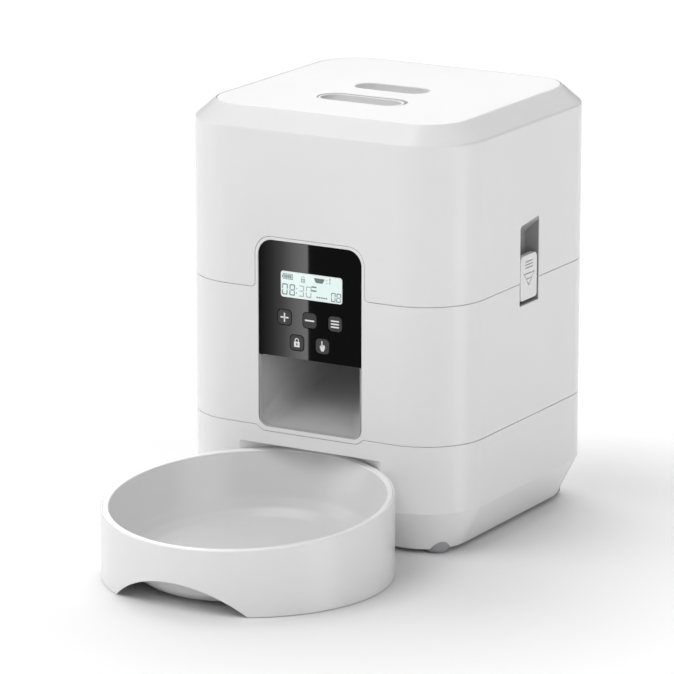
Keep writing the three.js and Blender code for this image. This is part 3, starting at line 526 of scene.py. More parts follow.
# The base: its foot is chamfered all round and hollowed in front for the bowl.
base_profile = filleted(
    [
        (15.0, 8.3, 0),
        (15.0, 2.3, 0.3),
        (12.2, 2.3, 0.5),
        (0, 27.0, 1.6),
        (0, SEAM_LOW - SEAM, 0.3),
        (2.4, SEAM_LOW - SEAM, 0.2),
        (2.4, SEAM_LOW - 1.5, 0),
    ],
    closed=False,
)
base = shell("base_shell_skin", base_profile, "caps")
dip_cut = filleted(
    [
        (DIP_WIDE + SEAM, 80, 0),
        (DIP_WIDE + SEAM, SEAM_LOW - SEAM, 2.4),
        (DIP_NARROW + 0.1, DIP_LOW - SEAM, 5.0),
        (-DIP_NARROW - 0.1, DIP_LOW - SEAM, 5.0),
        (-DIP_WIDE - SEAM, SEAM_LOW - SEAM, 2.4),
        (-DIP_WIDE - SEAM, 80, 0),
    ]
)
# The recess is an arc through its two front corners and its deepest point.
recess_r = (RECESS["half"] ** 2 + RECESS["depth"] ** 2) / (2 * RECESS["depth"])
recess_y = FRONT + RECESS["depth"] - recess_r
recess = combined(
    prism("cut", arch(RECESS["half"], -10, RECESS["top"], 2.2, 0.5), OUTSIDE, -70, "y"),
    prism("round", arc(0, recess_y, recess_r, 0, 357.5, 143), -12, 80),
    how="INTERSECT",
)
# Behind the recess a wall of its own closes the bottom edge.
liner_r = recess_r + WALL
tilt = math.degrees(math.asin((FRONT + 14 - recess_y) / liner_r))
combined(base, prism("add", arc(0, recess_y, liner_r, tilt, 180 - tilt, 40), 2.3, 9.5), how="UNION")
combined(
    base,
    recess,
    prism("cut", dip_cut, OUTSIDE, -89, "y"),
    block("cut", (-56.3, -36.3, 0), (56.3, 36.3, 46.3)),
)
inlet_x = centre("power_inlet", 0) / MM
INLET_Z = 42.0
combined(base, prism("cut", arc(inlet_x, INLET_Z, 5.4, 0, 348.75, 31), 75, HALF + 5, "y"))
soften(tidy(base), 0.35, 2)
settle(base, TOWER, "tower", WHITE, "shell_white", "base_shell")

# Finger pockets behind the side latches: half in the hopper, half in the housing. Each liner runs out through
# the wall as a thin sleeve and ends just inside the surface.
def pocket(name, side, low, high, roof=None):
    """One half between two heights. The upper half's roof slopes up and outwards from the height given."""
    x0, x1, beyond = POCKET_X, HALF - WALL - 0.1, 99
    y0, y1 = SLOT["front"] - 2, SLOT["rear"] + 2
    outline = [(side * x, y) for x, y in ((x0 - 2, y0), (x1, y0), (x1, y1), (x0 - 2, y1))]
    solid = prism(name, outline, low, high)
    if roof:
        slot = slot_outline(low, SLOT["high"] + SLEEVE, SLEEVE)
        profile = filleted(
            [(x0, low - 5, 0), (beyond, low - 5, 0), (beyond, roof + 12.5, 0), (x0, roof, 3.0)]
        )
        hole = slot_outline(low - 5, SLOT["high"])
    else:
        slot = slot_outline(SLOT["low"] - SLEEVE, high + 2, SLEEVE)
        profile = [(x0, low), (beyond, low), (beyond, high + 5), (x0, high + 5)]
        hole = slot_outline(SLOT["low"], high + 30)
    reach = sorted((side * (x1 - 0.3), side * (HALF - 0.3)))
    sleeve = prism("sleeve", slot, *reach, "x")
    if not roof:
        combined(sleeve, block("cut", (-120, -20, high), (120, 20, 200)))
    combined(solid, sleeve, how="UNION")
    space = combined(
        prism("space", hole, *sorted((side * x0, side * beyond)), "x"),
        prism("roof", [(side * x, z) for x, z in profile], y0 - 3, y1 + 3, "y"),
        how="INTERSECT",
    )
    return combined(solid, space)


for side, label in ((-1, "left"), (1, "right")):
    upper = pocket("hopper_pocket_" + label, side, SEAM_HIGH + 0.4, 191, roof=178)
    settle(soften(tidy(upper), 0.12, 2), TOWER, "hopper", POCKET_GREY, "inner_grey", "hopper_shell")
    lower = pocket("housing_pocket_" + label, side, SLOT["low"] - 2, SEAM_HIGH - 0.2)
    settle(soften(tidy(lower), 0.12, 2), TOWER, "tower", POCKET_GREY, "inner_grey", "body_housing")

# ---------------------------------------------------------------- side latches
BUTTON_HALF, BUTTON_MID = 10.25, 0.72  # along y
for side, label in ((-1, "left"), (1, "right")):
    node = "side_latch_" + label
    low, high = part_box(node)
    z_low, z_high = low[2] / MM, high[2] / MM
    rings = []
    for depth, inset in ((3.6, 0), (1.0, 0), (0.65, 0.12), (0.45, 0.4), (0.4, 0.7)):
        ring = arch(BUTTON_HALF - inset, z_low + inset, z_high - inset, 3.2 - inset / 2, 2.4 - inset / 2, 8)
        rings.append([(side * (HALF - depth), y + BUTTON_MID, z) for y, z in ring])
    latch = loft(node + "_button", rings)
    # A sunk arrow, whose raised halves leave a thin outline and a line across it, points the way it slides.
    sunk = sorted((side * (HALF - 1.7), side * (HALF + 1)))
    arrow = filleted(
        [(BUTTON_MID - 7.1, 156.5, 0.3), (BUTTON_MID + 7.1, 156.5, 0.3), (BUTTON_MID, 148.2, 0.5)]
    )
    grooves = [rounded(4.7, 0.42, 0.4, 5, BUTTON_MID, 159.6 + 1.9 * i) for i in range(3)]
    combined(latch, *[prism("cut", outline, *sunk, "x") for outline in (arrow, *grooves)])
    settle(soften(tidy(latch), 0.12, 2), TOWER, "latch_" + label, WHITE, "shell_white", node)
    halves = {
        "upper": [(-5.5, 155.6, 0.3), (5.5, 155.6, 0.3), (3.5, 153.3, 0.3), (-3.5, 153.3, 0.3)],
        "lower": [(-2.6, 152.2, 0.25), (2.6, 152.2, 0.25), (0, 149.3, 0.25)],
    }
    ends = sorted((side * (HALF - 1.8), side * (HALF - 0.45)))
    for half_name, corners in halves.items():
        outline = filleted([(y + BUTTON_MID, z, r) for y, z, r in corners])
        raised = prism(f"latch_arrow_{half_name}_{label}", outline, *ends, "x")
        settle(soften(raised, 0.1, 2), TOWER, "latch_" + label, WHITE, "shell_white")

# ---------------------------------------------------------------- the lid
lid_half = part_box("lid")[1][0] / MM
lid_corner = CORNER - RIM - 0.4
lid_rings = []
for inset, z in filleted([(0.4, 253, 0.3), (0, 253.4, 0), (0, TOP, 0.55), (3, TOP, 0)], closed=False):
    outline = rounded(lid_half - inset, lid_half - inset, lid_corner - inset, 14)
    lid_rings.append([(x, y, z) for x, y in outline])
lid = loft("lid_plate", lid_rings)
GRIP_X, GRIP_Y, GRIP_LENGTH, GRIP_WIDTH, GRIP_FLOOR = -1.4, 5.4, 49.0, 19.0, TOP - 9.0
CUP_Y, CUP_LENGTH, CUP_WIDTH, CUP_WALL = -35.8, 53.0, 14.2, 1.4
CUP_LIP = 2.4  # how far the cup widens backwards near its top
TRAVEL = 3.0  # how far the cup slides


def grip_outline(inset):
    return stadium(GRIP_LENGTH - 2 * inset, GRIP_WIDTH - 2 * inset, GRIP_Y, GRIP_X)


def grip_skin(name, profile):
    """A skin round the rear finger slot from a profile of (inset, z) points."""
    return loft(name, [[(x, y, z) for x, y in grip_outline(inset)] for inset, z in profile])


combined(lid, prism("add", grip_outline(-1.5), GRIP_FLOOR - 1.5, TOP - 1), how="UNION")
grip_hollow = grip_skin(
    "cut",
    [(3.2, GRIP_FLOOR), (1.4, GRIP_FLOOR + 0.5), (0.4, GRIP_FLOOR + 2.2), (0, TOP - 3), (0, TOP + 2)],
)
cup_hole = prism(
    "cut",
    stadium(
        CUP_LENGTH + 2 * CUP_WALL + 2.6,
        CUP_WIDTH + 2 * CUP_WALL + CUP_LIP + TRAVEL + 0.9,
        CUP_Y + (CUP_LIP + TRAVEL) / 2,
    ),
    240,
    TOP + 2,
)
combined(lid, grip_hollow, cup_hole)
settle(soften(tidy(lid), 0.4, 3), TOWER, "lid", LID_WHITE, "lid_white", "lid")
# A darker skin laid inside the rear finger slot: painted shade where the hollow is in shadow.
grip_shade_liner = grip_skin(
    "lid_grip_painted_shade",
    [
        (3.2, GRIP_FLOOR + 0.02),
        (1.4, GRIP_FLOOR + 0.52),
        (0.4, GRIP_FLOOR + 2.2),
        (0.04, TOP - 3),
        (0.04, TOP - 0.6),
        (0.5, TOP - 0.6),
        (0.5, TOP - 3),
        (0.9, GRIP_FLOOR + 2.4),
        (1.9, GRIP_FLOOR + 1.0),
        (3.4, GRIP_FLOOR + 0.6),
    ],
)
settle(grip_shade_liner, TOWER, "lid", GRIP_SHADE_WHITE, "lid_white", "lid")

# The sliding catch is a finger cup with a thin rim.
def cup_skin(name, profile):
    """A skin round the cup from a profile of (inset, z, share of the lip) points. The lip widens it backwards
    and makes it a little longer."""
    rings = []
    for inset, z, share in profile:
        lip = CUP_LIP * share
        length = CUP_LENGTH + 2 * (CUP_WALL - inset + share - 1)
        width = CUP_WIDTH + lip + 2 * (CUP_WALL - inset)
        rings.append([(x, y, z) for x, y in stadium(length, width, CUP_Y + lip / 2)])
    return loft(name, rings)


cup = cup_skin(
    "lid_catch_cup",
    [
        (0.6, TOP - 9, 0),
        (0, TOP - 8.4, 0),
        (0, TOP - 4.1, 0),
        (0, TOP - 1.6, 1),
        (0, TOP - 0.35, 1),
        (0.12, TOP - 0.1, 1),
        (0.4, TOP, 1),
        (1.0, TOP, 1),
        (1.28, TOP - 0.1, 1),
        (CUP_WALL, TOP - 0.4, 1),
        (CUP_WALL, TOP - 0.8, 1),
        (CUP_WALL + 0.4, TOP - 0.8, 1),
        (CUP_WALL + 0.4, TOP - 3.6, 0),
        (CUP_WALL + 0.4, TOP - 9, 0),
    ],
)
settle(cup, TOWER, "lid_catch", LID_WHITE, "lid_white", "lid_catch")
# A darker skin inside the finger cup: painted shade in its hollow.
cup_shade_liner = cup_skin(
    "lid_catch_painted_shade",
    [
        (CUP_WALL + 0.38, TOP - 8.9, 0),
        (CUP_WALL + 0.38, TOP - 3.6, 0),
        (CUP_WALL + 0.38, TOP - 0.85, 1),
        (CUP_WALL + 0.04, TOP - 0.85, 1),
        (CUP_WALL + 0.02, TOP - 0.6, 1),
        (CUP_WALL + 0.3, TOP - 0.5, 1),
        (CUP_WALL + 0.6, TOP - 0.9, 1),
        (CUP_WALL + 0.7, TOP - 3.4, 0),
        (CUP_WALL + 0.7, TOP - 6, 0),
        (CUP_WALL + 1.1, TOP - 7.1, 0),
        (CUP_WALL + 2.4, TOP - 7.6, 0),
    ],
)
settle(cup_shade_liner, TOWER, "lid_catch", CATCH_SHADE_WHITE, "lid_white", "lid_catch")
tongue = prism("lid_catch_tongue", rounded(8, 14.7, 1.2, 5, 0, -60.2), 248.6, 250.8)
settle(soften(tongue, 0.3, 2), TOWER, "lid_catch", LID_WHITE, "lid_white")

# ---------------------------------------------------------------- springs
# Each spring is a steel copy of its CAD coil, set in its place; the body it stands on and the part it pushes
# at its other end are listed with it.
for node, stands_on, pushes, axis, from_high in (
    ("latch_spring_left", "hopper", "latch_left", 2, False),
    ("latch_spring_right", "hopper", "latch_right", 2, False),
    ("lid_catch_spring", "lid", "lid_catch", 1, True),
):
    coil = linked(node + "_coil", frame["nodes"][node].data.copy())
    coil.data.materials.clear()
    coil.data.materials.append(STEEL)
    low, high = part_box(node)
    near = Vector([(a + b) / 2 for a, b in zip(low, high)])
    far = near.copy()
    near[axis], far[axis] = (high[axis], low[axis]) if from_high else (low[axis], high[axis])
    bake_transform(shade(coil, 60))
    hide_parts(node)

# ---------------------------------------------------------------- panel, display and keys
PANEL_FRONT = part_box("panel_face")[0][1] / MM - TOWER[1] / MM
PANEL_THICK = 2.4
lcd_low, lcd_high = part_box("lcd_window")
LCD_X = (lcd_low[0] / MM, lcd_high[0] / MM)
LCD_Z = (lcd_low[2] / MM, lcd_high[2] / MM)
lcd_mid = ((LCD_X[0] + LCD_X[1]) / 2, (LCD_Z[0] + LCD_Z[1]) / 2)
lcd_half = ((LCD_X[1] - LCD_X[0]) / 2, (LCD_Z[1] - LCD_Z[0]) / 2)


def lcd_outline(inset, radius):
    return rounded(lcd_half[0] - inset, lcd_half[1] - inset, radius, 8, *lcd_mid)


KEY_NODES = ("key_plus", "key_minus", "key_set", "key_lock", "key_feed")
key_at = {name: (centre(name, 0) / MM, centre(name, 2) / MM) for name in KEY_NODES}
key_half = (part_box("key_plus")[1][0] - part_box("key_plus")[0][0]) / 2 / MM

panel = prism(
    "panel_gloss",
    arch(WINDOW["half"] - 0.25, PANEL_LOW, WINDOW["high"] - 0.25, 9.25, 0.5, 14),
    PANEL_FRONT,
    PANEL_FRONT + PANEL_THICK,
    "y",
)
combined(panel, prism("cut", lcd_outline(-0.12, 1.9), OUTSIDE, INSIDE, "y"))
for x, z in key_at.values():
    key_hole = rounded(key_half + 0.3, key_half + 0.3, 2.6, 6, x, z)
    combined(panel, prism("cut", key_hole, OUTSIDE, INSIDE, "y"))
settle(soften(tidy(panel), 0.15, 2), TOWER, "tower", BLACK, "panel_black", "panel_face")

lens_rings = []
for depth, inset in ((2.2, 0), (0.3, 0), (0.12, 0.1), (0.08, 0.3)):
    lens_rings.append([(x, PANEL_FRONT + depth, z) for x, z in lcd_outline(inset, 1.75 - inset)])
settle(loft("lcd_lens", lens_rings), TOWER, "tower", LCD, "lcd_glass", "lcd_window")
edge = prism("lcd_edge", lcd_outline(0.1, 1.65), PANEL_FRONT + 0.06, PANEL_FRONT + 0.3, "y")
combined(edge, prism("cut", lcd_outline(0.75, 1.2), OUTSIDE, INSIDE, "y"))
settle(edge, TOWER, "tower", LCD_EDGE, "lcd_glass")


def flats(name, shapes, y, body, material, slot, thick):
    """One thin inlay from many outlines in (x, z)."""
    verts, faces = [], []
    for outline in shapes:
        start, n = len(verts), len(outline)
        verts += [(u, y, v) for u, v in outline] + [(u, y + thick, v) for u, v in outline]
        faces += [tuple(range(start, start + n)), tuple(range(start + 2 * n - 1, start + n - 1, -1))]
        faces += [(start + k, start + (k + 1) % n, start + n + (k + 1) % n, start + n + k) for k in range(n)]
    settle(make(name, verts, faces), TOWER, body, material, slot)


def bar(x, z, w, h, r=0.0):
    if r:
        return rounded(w / 2, h / 2, r, 4, x, z)
    return [
        (x - w / 2, z - h / 2),
        (x + w / 2, z - h / 2),
        (x + w / 2, z + h / 2),
        (x - w / 2, z + h / 2),
    ]


SEGMENTS = {"0": "abcdef", "1": "bc", "3": "abcdg", "8": "abcdefg"}
DIGIT_LEAN = 0.04


def digit(char, x, z, w, h, t):
    """The lit strokes of one seven-segment digit whose lower left corner is (x, z)."""
    g = t * 0.28
    m = z + h / 2
    strokes = {
        "a": [(x + g, z + h), (x + w - g, z + h), (x + w - t, z + h - t), (x + t, z + h - t)],
        "d": [(x + t, z + t), (x + w - t, z + t), (x + w - g, z), (x + g, z)],
        "b": [(x + w, z + h - g), (x + w, m + g), (x + w - t, m + t / 2 + g), (x + w - t, z + h - t)],
        "c": [(x + w, m - g), (x + w, z + g), (x + w - t, z + t), (x + w - t, m - t / 2 - g)],
        "f": [(x, z + h - g), (x + t, z + h - t), (x + t, m + t / 2 + g), (x, m + g)],
        "e": [(x, m - g), (x + t, m - t / 2 - g), (x + t, z + t), (x, z + g)],
        "g": [
            (x + t * 0.8, m),
            (x + t * 1.3, m + t / 2),
            (x + w - t * 1.3, m + t / 2),
            (x + w - t * 0.8, m),
            (x + w - t * 1.3, m - t / 2),
            (x + t * 1.3, m - t / 2),
        ],
    }
    return [[(u + (v - z) * DIGIT_LEAN, v) for u, v in strokes[s]] for s in SEGMENTS[char]]


def padlock(x, z, s):
    """A padlock as outlines: a body with a keyhole, the bar that closes the keyhole below, and a shackle."""
    left = [
        (x - 1.0 * s, z + 0.5 * s),
        (x - 1.0 * s, z - 1.2 * s),
        (x - 0.16 * s, z - 1.2 * s),
        (x - 0.16 * s, z - 0.6 * s),
        (x - 0.3 * s, z - 0.3 * s),
        (x - 0.2 * s, z - 0.02 * s),
    ]
    body = left + [(x, z + 0.08 * s)] + [(2 * x - u, v) for u, v in reversed(left)]
    foot = bar(x, z - 0.97 * s, 0.34 * s, 0.46 * s)
    outer, inner, top = 0.75 * s, 0.46 * s, z + 0.5 * s
    shackle = [
        (x + outer, top),
        *arc(x, z + 0.9 * s, outer, 0, 180, 12),
        (x - outer, top),
        (x - inner, top),
        *arc(x, z + 0.9 * s, inner, 180, 0, 12),
        (x + inner, top),
    ]
    return [body, foot, shackle]


def hand(x, z, s):
    """A pointing hand: one long finger over a fist that narrows to the wrist."""
    return [
        rounded(0.26 * s, 1.2 * s, 0.25 * s, 5, x - 0.15 * s, z + 0.85 * s),
        filleted(
            [
                (x - 0.45 * s, z - 2.1 * s, 0.2 * s),
                (x + 0.6 * s, z - 2.1 * s, 0.2 * s),
                (x + 1.2 * s, z - 0.7 * s, 0.3 * s),
                (x + 1.15 * s, z + 0.4 * s, 0.35 * s),
                (x - 0.4 * s, z + 0.6 * s, 0.3 * s),
                (x - 1.2 * s, z - 0.35 * s, 0.3 * s),
            ]
        ),
    ]


SYMBOL_T = 0.95
symbols = {
    "key_plus": lambda x, z: [bar(x, z, 5.5, SYMBOL_T, 0.3), bar(x, z, SYMBOL_T, 5.5, 0.3)],
    "key_minus": lambda x, z: [bar(x, z, 6.3, SYMBOL_T, 0.35)],
    "key_set": lambda x, z: [bar(x, z + d, 5.6, 0.85, 0.3) for d in (-1.8, 0, 1.8)],
    "key_lock": lambda x, z: padlock(x, z - 0.2, 1.9),
    "key_feed": lambda x, z: hand(x, z + 0.2, 1.5),
}
KEY_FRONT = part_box("key_plus")[0][1] / MM - TOWER[1] / MM
for name, (x, z) in key_at.items():
    rings = []
    for depth, inset in ((3.4, 0), (0.5, 0), (0.2, 0.12), (0.06, 0.35), (0.04, 0.8)):
        outline = rounded(key_half - inset, key_half - inset, 2.5 - inset, 7, x, z)
        rings.append([(u, KEY_FRONT + depth, v) for u, v in outline])
    settle(loft(name + "_cap", rings), TOWER, name, KEY, "key_grey", name)
    flats(name + "_symbol", symbols[name](x, z), KEY_FRONT, name, INK, "lid_white", 0.1)

# What the display shows: a battery gauge, a small padlock, a time, a bowl mark and a portion number.
DISPLAY_Y = PANEL_FRONT + 0.03
x0, z0 = LCD_X[0], LCD_Z[0]
strong, faint = [], []
for i, char in enumerate("0830"):
    x = x0 + 0.9 + i * 5.0 + (1.2 if i > 1 else 0)
    (faint if i > 1 else strong).extend(digit(char, x, z0 + 1.5, 3.7, 6.7, 0.62))
strong += [bar(x0 + 10.9, z0 + 3.4, 0.6, 0.6), bar(x0 + 11.1, z0 + 6.2, 0.6, 0.6)]
for i, char in enumerate("08"):
    strong += digit(char, LCD_X[1] - 7.6 + i * 3.6, z0 + 1.0, 2.9, 5.4, 0.5)
gauge = (
    (5.0, 14.1, 6.6, 0.35),
    (5.0, 11.1, 6.6, 0.35),
    (8.2, 12.6, 0.35, 3.3),
    (1.8, 12.6, 0.35, 3.3),
    (1.3, 12.6, 0.5, 1.4),
)
strong += [bar(x0 + u, z0 + v, w, h) for u, v, w, h in gauge]
strong += [bar(x0 + 3.0 + 1.32 * i, z0 + 12.6, 0.9, 2.0) for i in range(4)]
faint += padlock(x0 + 15.2, z0 + 11.7, 1.35)
bowl_mark = [(22.6, 13.8, 0.1), (23.9, 11.0, 0.8), (28.6, 11.0, 0.8), (29.9, 13.8, 0.1)]
strong.append(filleted([(x0 + u, z0 + v, r) for u, v, r in bowl_mark]))
strong += [bar(x0 + 31.4, z0 + 11.5, 0.5, 0.5), bar(x0 + 31.4, z0 + 13.2, 0.5, 0.5)]
strong += digit("1", x0 + 31.0, z0 + 10.9, 2.6, 4.0, 0.5)
strong += [bar(x0 + 22.7, z0 + v, w, 0.8) for v, w in ((8.3, 3.4), (6.0, 3.4))]
strong += [bar(x0 + 24.9 + 1.55 * i, z0 + 2.4, 1.1, 0.8) for i in range(5)]
flats("lcd_marks", strong, DISPLAY_Y, "tower", SEGMENT, "lcd_glass", 0.04)
flats("lcd_marks_faint", faint, DISPLAY_Y, "tower", FAINT, "lcd_glass", 0.04)

# ---------------------------------------------------------------- the chute
CHUTE_BACK = -30.0
CHUTE_HALF = 34.35  # half its width at the mouth
CHUTE_SLOPE = 0.6
THROAT_TOP = 127.0


def along(y, start, length):
    """How far y is along a stretch, from 0 to 1."""
    return min(max((y - start) / length, 0.0), 1.0)


def chute_ring(y, wall):
    """One section of the chute at y: flush with the window in front, a narrow throat behind."""
    half = min(35.0 - 17.0 * (max(y, -92.0) + 96) / 66, CHUTE_HALF) + wall
    floor = WINDOW["low"] + 0.6 + CHUTE_SLOPE * max(0.0, y + 92.5) - wall
    ceiling = min(PANEL_LOW - 0.5 + 18.7 * along(y, -77, 28.5), THROAT_TOP) + wall
    low_r = 5.6 + 5.5 * along(y, -92, 14)
    return [(x, y, z) for x, z in arch(half, floor, ceiling, 1.2 + wall / 3, low_r, 10)]


MOUTH_Y, BEHIND_WALL_Y = FRONT + 0.4, FRONT + WALL + 0.1
STEPS = (-91.5, -90, -88, -84, -80, -77, -72, -66, -60, -54, -46, -38)
passage = loft("cut", [chute_ring(y, 0) for y in (-99, -94.6, -93.2, *STEPS, CHUTE_BACK)])
casing_at = [(MOUTH_Y, 0.45), (BEHIND_WALL_Y, 0.45), (BEHIND_WALL_Y + 0.02, 1.9)]
casing_at += [(y, 2.0) for y in (*STEPS, CHUTE_BACK + 2)]
casing = loft("food_chute_liner", [chute_ring(y, wall) for y, wall in casing_at])
# A shaft rises from its back, and a notch at its mouth makes room for the panel.
combined(casing, block("add", (-20, -50.5, 120), (20, CHUTE_BACK + 1.9, 135.2)), how="UNION")
combined(
    casing,
    passage,
    block("cut", (-18, -48.5, 118), (18, CHUTE_BACK - 0.05, 140)),
    block("cut", (-40, -99, PANEL_LOW - 0.6), (40, PANEL_FRONT + PANEL_THICK, 115)),
)
settle(tidy(casing, 0.1), TOWER, "tower", CHUTE_GREY, "inner_grey", "food_chute")

# ---------------------------------------------------------------- bowl
def lifted(top):
    """Raises points near the top so that the part ends in the leaning rim."""
    return lambda x, y, z: RIM_RISE * y * max(0.0, min(1.0, z / top))


# The stand's wall ends level with the bowl's rim, which lies on a ledge inside it.
LEDGE_Z = RIM_Z - 1.6
stand_profile = filleted(
    [
        (BOWL_R, 0.0, 0.15),
        (BOWL_R - 0.1, RIM_Z - 0.02, 1.0),
        (BOWL_R - 1.43, RIM_Z - 0.02, 0.1),
        (BOWL_R - 1.43, LEDGE_Z, 0),
        (BOWL_R - 2.3, LEDGE_Z, 0.2),
        (BOWL_R - 2.0, 0.0, 0.3),
    ]
)
stand = turned("bowl_stand_skirt", stand_profile, 160, lifted(LEDGE_Z - 0.3))
NOTCH_HALF, NOTCH_HEIGHT = 43.9, 16.9
notch_r = (NOTCH_HALF**2 + NOTCH_HEIGHT**2) / (2 * NOTCH_HEIGHT)
notch = arc(0, NOTCH_HEIGHT - notch_r, notch_r, 0, 357, 119)
combined(stand, prism("cut", notch, -BOWL_R - 6, -BOWL_R / 2, "y"))
settle(soften(tidy(stand, 0.05), 0.16, 2, 50), BOWL, "bowl_stand", WHITE, "shell_white", "bowl_stand")

# The dish leans as a whole. Its rim is flat on top.
dish_profile = filleted(
    [
        (0, 6.2, 0),
        (58.0, 6.2, 8.0),
        (65.5, 8.0, 8.0),
        (71.2, 13.0, 8.0),
        (74.6, 20.5, 20.0),
        (82.0, RIM_Z - 2.3, 0.2),
        (82.0, RIM_Z - 1.2, 0.1),
        (80.4, RIM_Z - 0.8, 0),
        (72.4, 20.4, 18.0),
        (69.0, 14.2, 8.0),
        (64.0, 9.8, 7.0),
        (57.5, 8.2, 8.0),
        (0, 8.2, 0),
    ],
    closed=False,
)
# The rim is the dish's plastic made lighter: painted light where its top catches the lamps.
rim_profile = filleted(
    [
        (82.05, RIM_Z - 1.35, 0),
        (BOWL_R - 1.55, RIM_Z - 1.4, 0.15),
        (BOWL_R - 1.55, RIM_Z, 0.1),
        (80.9, RIM_Z - 0.12, 0.5),
        (80.45, RIM_Z - 0.75, 0.1),
        (82.05, RIM_Z - 1.15, 0),
    ],
    step=7.0,
)
for name, profile, material in (("dish", dish_profile, DISH_WHITE), ("rim", rim_profile, RIM_LIT_WHITE)):
    piece = turned("food_bowl_" + name, profile, 160, lambda x, y, z: RIM_RISE * y)
    settle(piece, BOWL, "food_bowl", material, "shell_white", "food_bowl")

# ---------------------------------------------------------------- feet, base details
for label in ("front_left", "front_right", "rear_left", "rear_right"):
    foot = "foot_pad_" + label
    spot = (centre(foot, 0) / MM, centre(foot, 1) / MM - TOWER[1] / MM, 0)
    post = [(0, 16, 0), (8, 16, 0.6), (8, 1.6, 0.5), (6.9, 1.6, 0.2), (6.9, 3.4, 0), (0, 3.4, 0)]
    pad = [(0, 3.5, 0), (6.7, 3.5, 0.2), (6.7, 0, 0.7), (5.2, 0, 0.3), (4.9, 0.35, 0.2), (0, 0.35, 0)]
    for name, profile, stands_for in (("foot_post_", post, "base_shell"), ("foot_rubber_", pad, foot)):
        piece = turned(name + label, filleted(profile, closed=False), 48)
        piece.data.transform(Matrix.Translation(spot))
        settle(piece, TOWER, "tower", RUBBER, "foot_rubber", stands_for)

# ---------------------------------------------------------------- camera
# The view is fixed in the tower's own axes, so it keeps its place if the frame's origin moves.
AZIMUTH, ELEVATION, DISTANCE = math.radians(30.18), math.radians(14.204), 2.8292
back = Vector(
    (
        math.sin(AZIMUTH) * math.cos(ELEVATION),
        -math.cos(AZIMUTH) * math.cos(ELEVATION),
        math.sin(ELEVATION),
    )
)
aim = Vector((-0.03652, TOWER[1], 0.10034))
camera = linked("camera", bpy.data.cameras.new("camera"))
camera.location = aim + back * DISTANCE
camera.rotation_mode = "QUATERNION"
camera.rotation_quaternion = (-back).to_track_quat("-Z", "Y")
camera.data.lens = 248.33
camera.data.sensor_width = 36.0
camera.data.clip_start, camera.data.clip_end = 0.05, 60.0
bpy.context.scene.camera = camera

# ---------------------------------------------------------------- stage and light
FLOOR_SIZE, FLOOR_DROP = 12, -0.0004
corners = [(FLOOR_SIZE * u, FLOOR_SIZE * v, FLOOR_DROP) for u, v in ((-1, -1), (1, -1), (1, 1), (-1, 1))]
floor = make("floor", corners, [(0, 1, 2, 3)])
# The floor's colour darkens towards the object: a painted contact shadow.
floor_mat = bpy.data.materials.new("floor_painted_shadow")
floor_mat.use_nodes = True
tree = floor_mat.node_tree
where = tree.nodes.new("ShaderNodeTexCoord")
away = tree.nodes.new("ShaderNodeVectorMath")
away.operation = "LENGTH"
tree.links.new(where.outputs["Object"], away.inputs[0])
fade = tree.nodes.new("ShaderNodeMapRange")
fade.interpolation_type = "SMOOTHSTEP"
fade.inputs["From Min"].default_value = FLOOR["from"]
fade.inputs["From Max"].default_value = FLOOR["to"]
fade.inputs["To Min"].default_value = FLOOR["near"]
fade.inputs["To Max"].default_value = FLOOR["far"]
tree.links.new(away.outputs["Value"], fade.inputs["Value"])
tree.links.new(fade.outputs["Result"], tree.nodes["Principled BSDF"].inputs["Base Color"])
tree.nodes["Principled BSDF"].inputs["Roughness"].default_value = 0.9
tree.nodes["Principled BSDF"].inputs["Specular IOR Level"].default_value = 0.1
floor.data.materials.append(floor_mat)


def lamp(name, bearing, height, spread, strength):
    data = bpy.data.lights.new(name, "SUN")
    data.energy = strength
    data.angle = math.radians(spread)
    obj = linked(name, data)
    obj.rotation_mode = "QUATERNION"
    turn, rise = math.radians(bearing), math.radians(height)
    comes_from = Vector((math.cos(turn) * math.cos(rise), math.sin(turn) * math.cos(rise), math.sin(rise)))
    obj.rotation_quaternion = comes_from.to_track_quat("Z", "Y")
    return obj


for name, settings in LIGHTS.items():
    lamp(name, *settings)
streak = lamp("streak_light", *STREAK)
streak.visible_diffuse = False
floor.visible_shadow = False

# The sky fades from its top to its horizon. The camera sees plain white behind the object.
world = bpy.data.worlds.new("studio")
bpy.context.scene.world = world
world.use_nodes = True
tree = world.node_tree
sky = tree.nodes["Background"]
where = tree.nodes.new("ShaderNodeTexCoord")
split = tree.nodes.new("ShaderNodeSeparateXYZ")
tree.links.new(where.outputs["Generated"], split.inputs["Vector"])
fade = tree.nodes.new("ShaderNodeMapRange")
fade.inputs["To Min"].default_value = SKY["horizon"]
fade.inputs["To Max"].default_value = SKY["zenith"]
tree.links.new(split.outputs["Z"], fade.inputs["Value"])
tree.links.new(fade.outputs["Result"], sky.inputs["Strength"])
sky.inputs["Color"].default_value = (1, 1, 1, 1)
plain = tree.nodes.new("ShaderNodeBackground")
plain.inputs["Color"].default_value = (1, 1, 1, 1)
plain.inputs["Strength"].default_value = BACKDROP
seen = tree.nodes.new("ShaderNodeLightPath")
either = tree.nodes.new("ShaderNodeMixShader")
tree.links.new(seen.outputs["Is Camera Ray"], either.inputs["Fac"])
tree.links.new(sky.outputs["Background"], either.inputs[1])
tree.links.new(plain.outputs["Background"], either.inputs[2])
tree.links.new(either.outputs["Shader"], tree.nodes["World Output"].inputs["Surface"])
bpy.context.scene.view_settings.view_transform = "Standard"

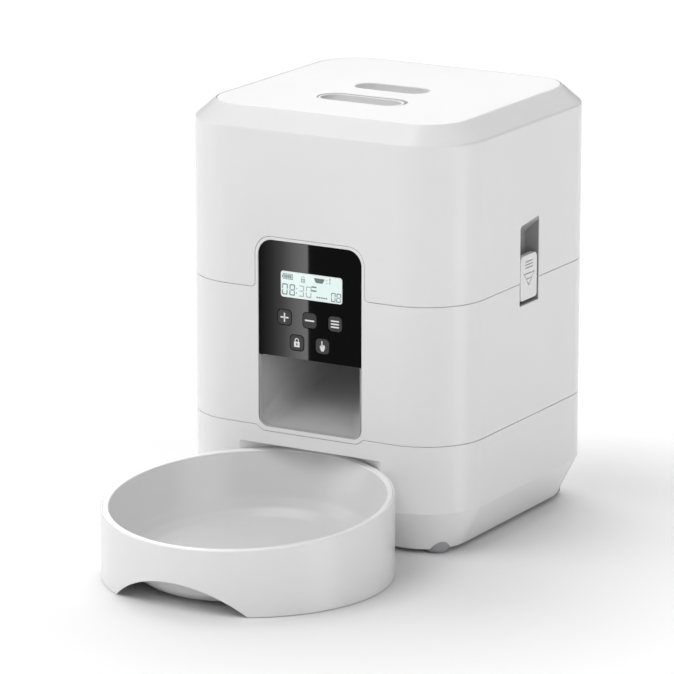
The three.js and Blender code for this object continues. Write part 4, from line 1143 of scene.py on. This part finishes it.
# A softbox edge that only the glossy panel and its display reflect. It stands where the reflection of the
# view from the front right meets it, and fades away from its edge.
# SIDE runs along the card, and AWAY leads from the panel to it. All in metres.
SIDE, AWAY = Vector((-0.8644, 0.5028, 0)), Vector((-0.4874, -0.8380, 0)) * 0.35
CARD_WIDTH, CARD_LOW, CARD_HIGH, FADE = 0.048, 0.004, 0.15, 0.031
corner = Vector((-0.0005, TOWER[1] + PANEL_FRONT * MM, 0)) + AWAY + SIDE * 0.0027
columns = 12
verts = []
for i in range(columns + 1):
    spot = corner + SIDE * (CARD_WIDTH * i / columns)
    verts += [(spot.x, spot.y, CARD_LOW), (spot.x, spot.y, CARD_HIGH)]
faces = [(2 * i, 2 * i + 2, 2 * i + 3, 2 * i + 1) for i in range(columns)]
card = make("reflection_card", verts, faces)
glow = bpy.data.materials.new("card_glow")
glow.use_nodes = True
tree = glow.node_tree
tree.nodes.remove(tree.nodes["Principled BSDF"])
place = tree.nodes.new("ShaderNodeTexCoord")
reach = tree.nodes.new("ShaderNodeVectorMath")
reach.operation = "DOT_PRODUCT"
reach.inputs[1].default_value = SIDE
tree.links.new(place.outputs["Object"], reach.inputs[0])
span = tree.nodes.new("ShaderNodeMapRange")
span.inputs["From Min"].default_value = corner.dot(SIDE)
span.inputs["From Max"].default_value = corner.dot(SIDE) + FADE
tree.links.new(reach.outputs["Value"], span.inputs["Value"])
ramp = tree.nodes.new("ShaderNodeValToRGB")
ramp.color_ramp.elements[0].color = (1, 1, 1, 1)
for place_on, value in ((0.30, 0.70), (0.54, 0.35), (0.78, 0.15)):
    ramp.color_ramp.elements.new(place_on).color = (value, value, value, 1)
ramp.color_ramp.elements[-1].color = (0.05, 0.05, 0.05, 1)
tree.links.new(span.outputs["Result"], ramp.inputs["Fac"])
emit = tree.nodes.new("ShaderNodeEmission")
emit.inputs["Strength"].default_value = CARD
tree.links.new(ramp.outputs["Color"], emit.inputs["Color"])
tree.links.new(emit.outputs["Emission"], tree.nodes["Material Output"].inputs["Surface"])
card.data.materials.append(glow)
card.visible_camera = card.visible_diffuse = card.visible_shadow = card.visible_transmission = False
receivers = bpy.data.collections.new("card_receivers")
for name in ("panel_gloss", "lcd_lens"):
    receivers.objects.link(bpy.data.objects[name])
card.light_linking.receiver_collection = receivers
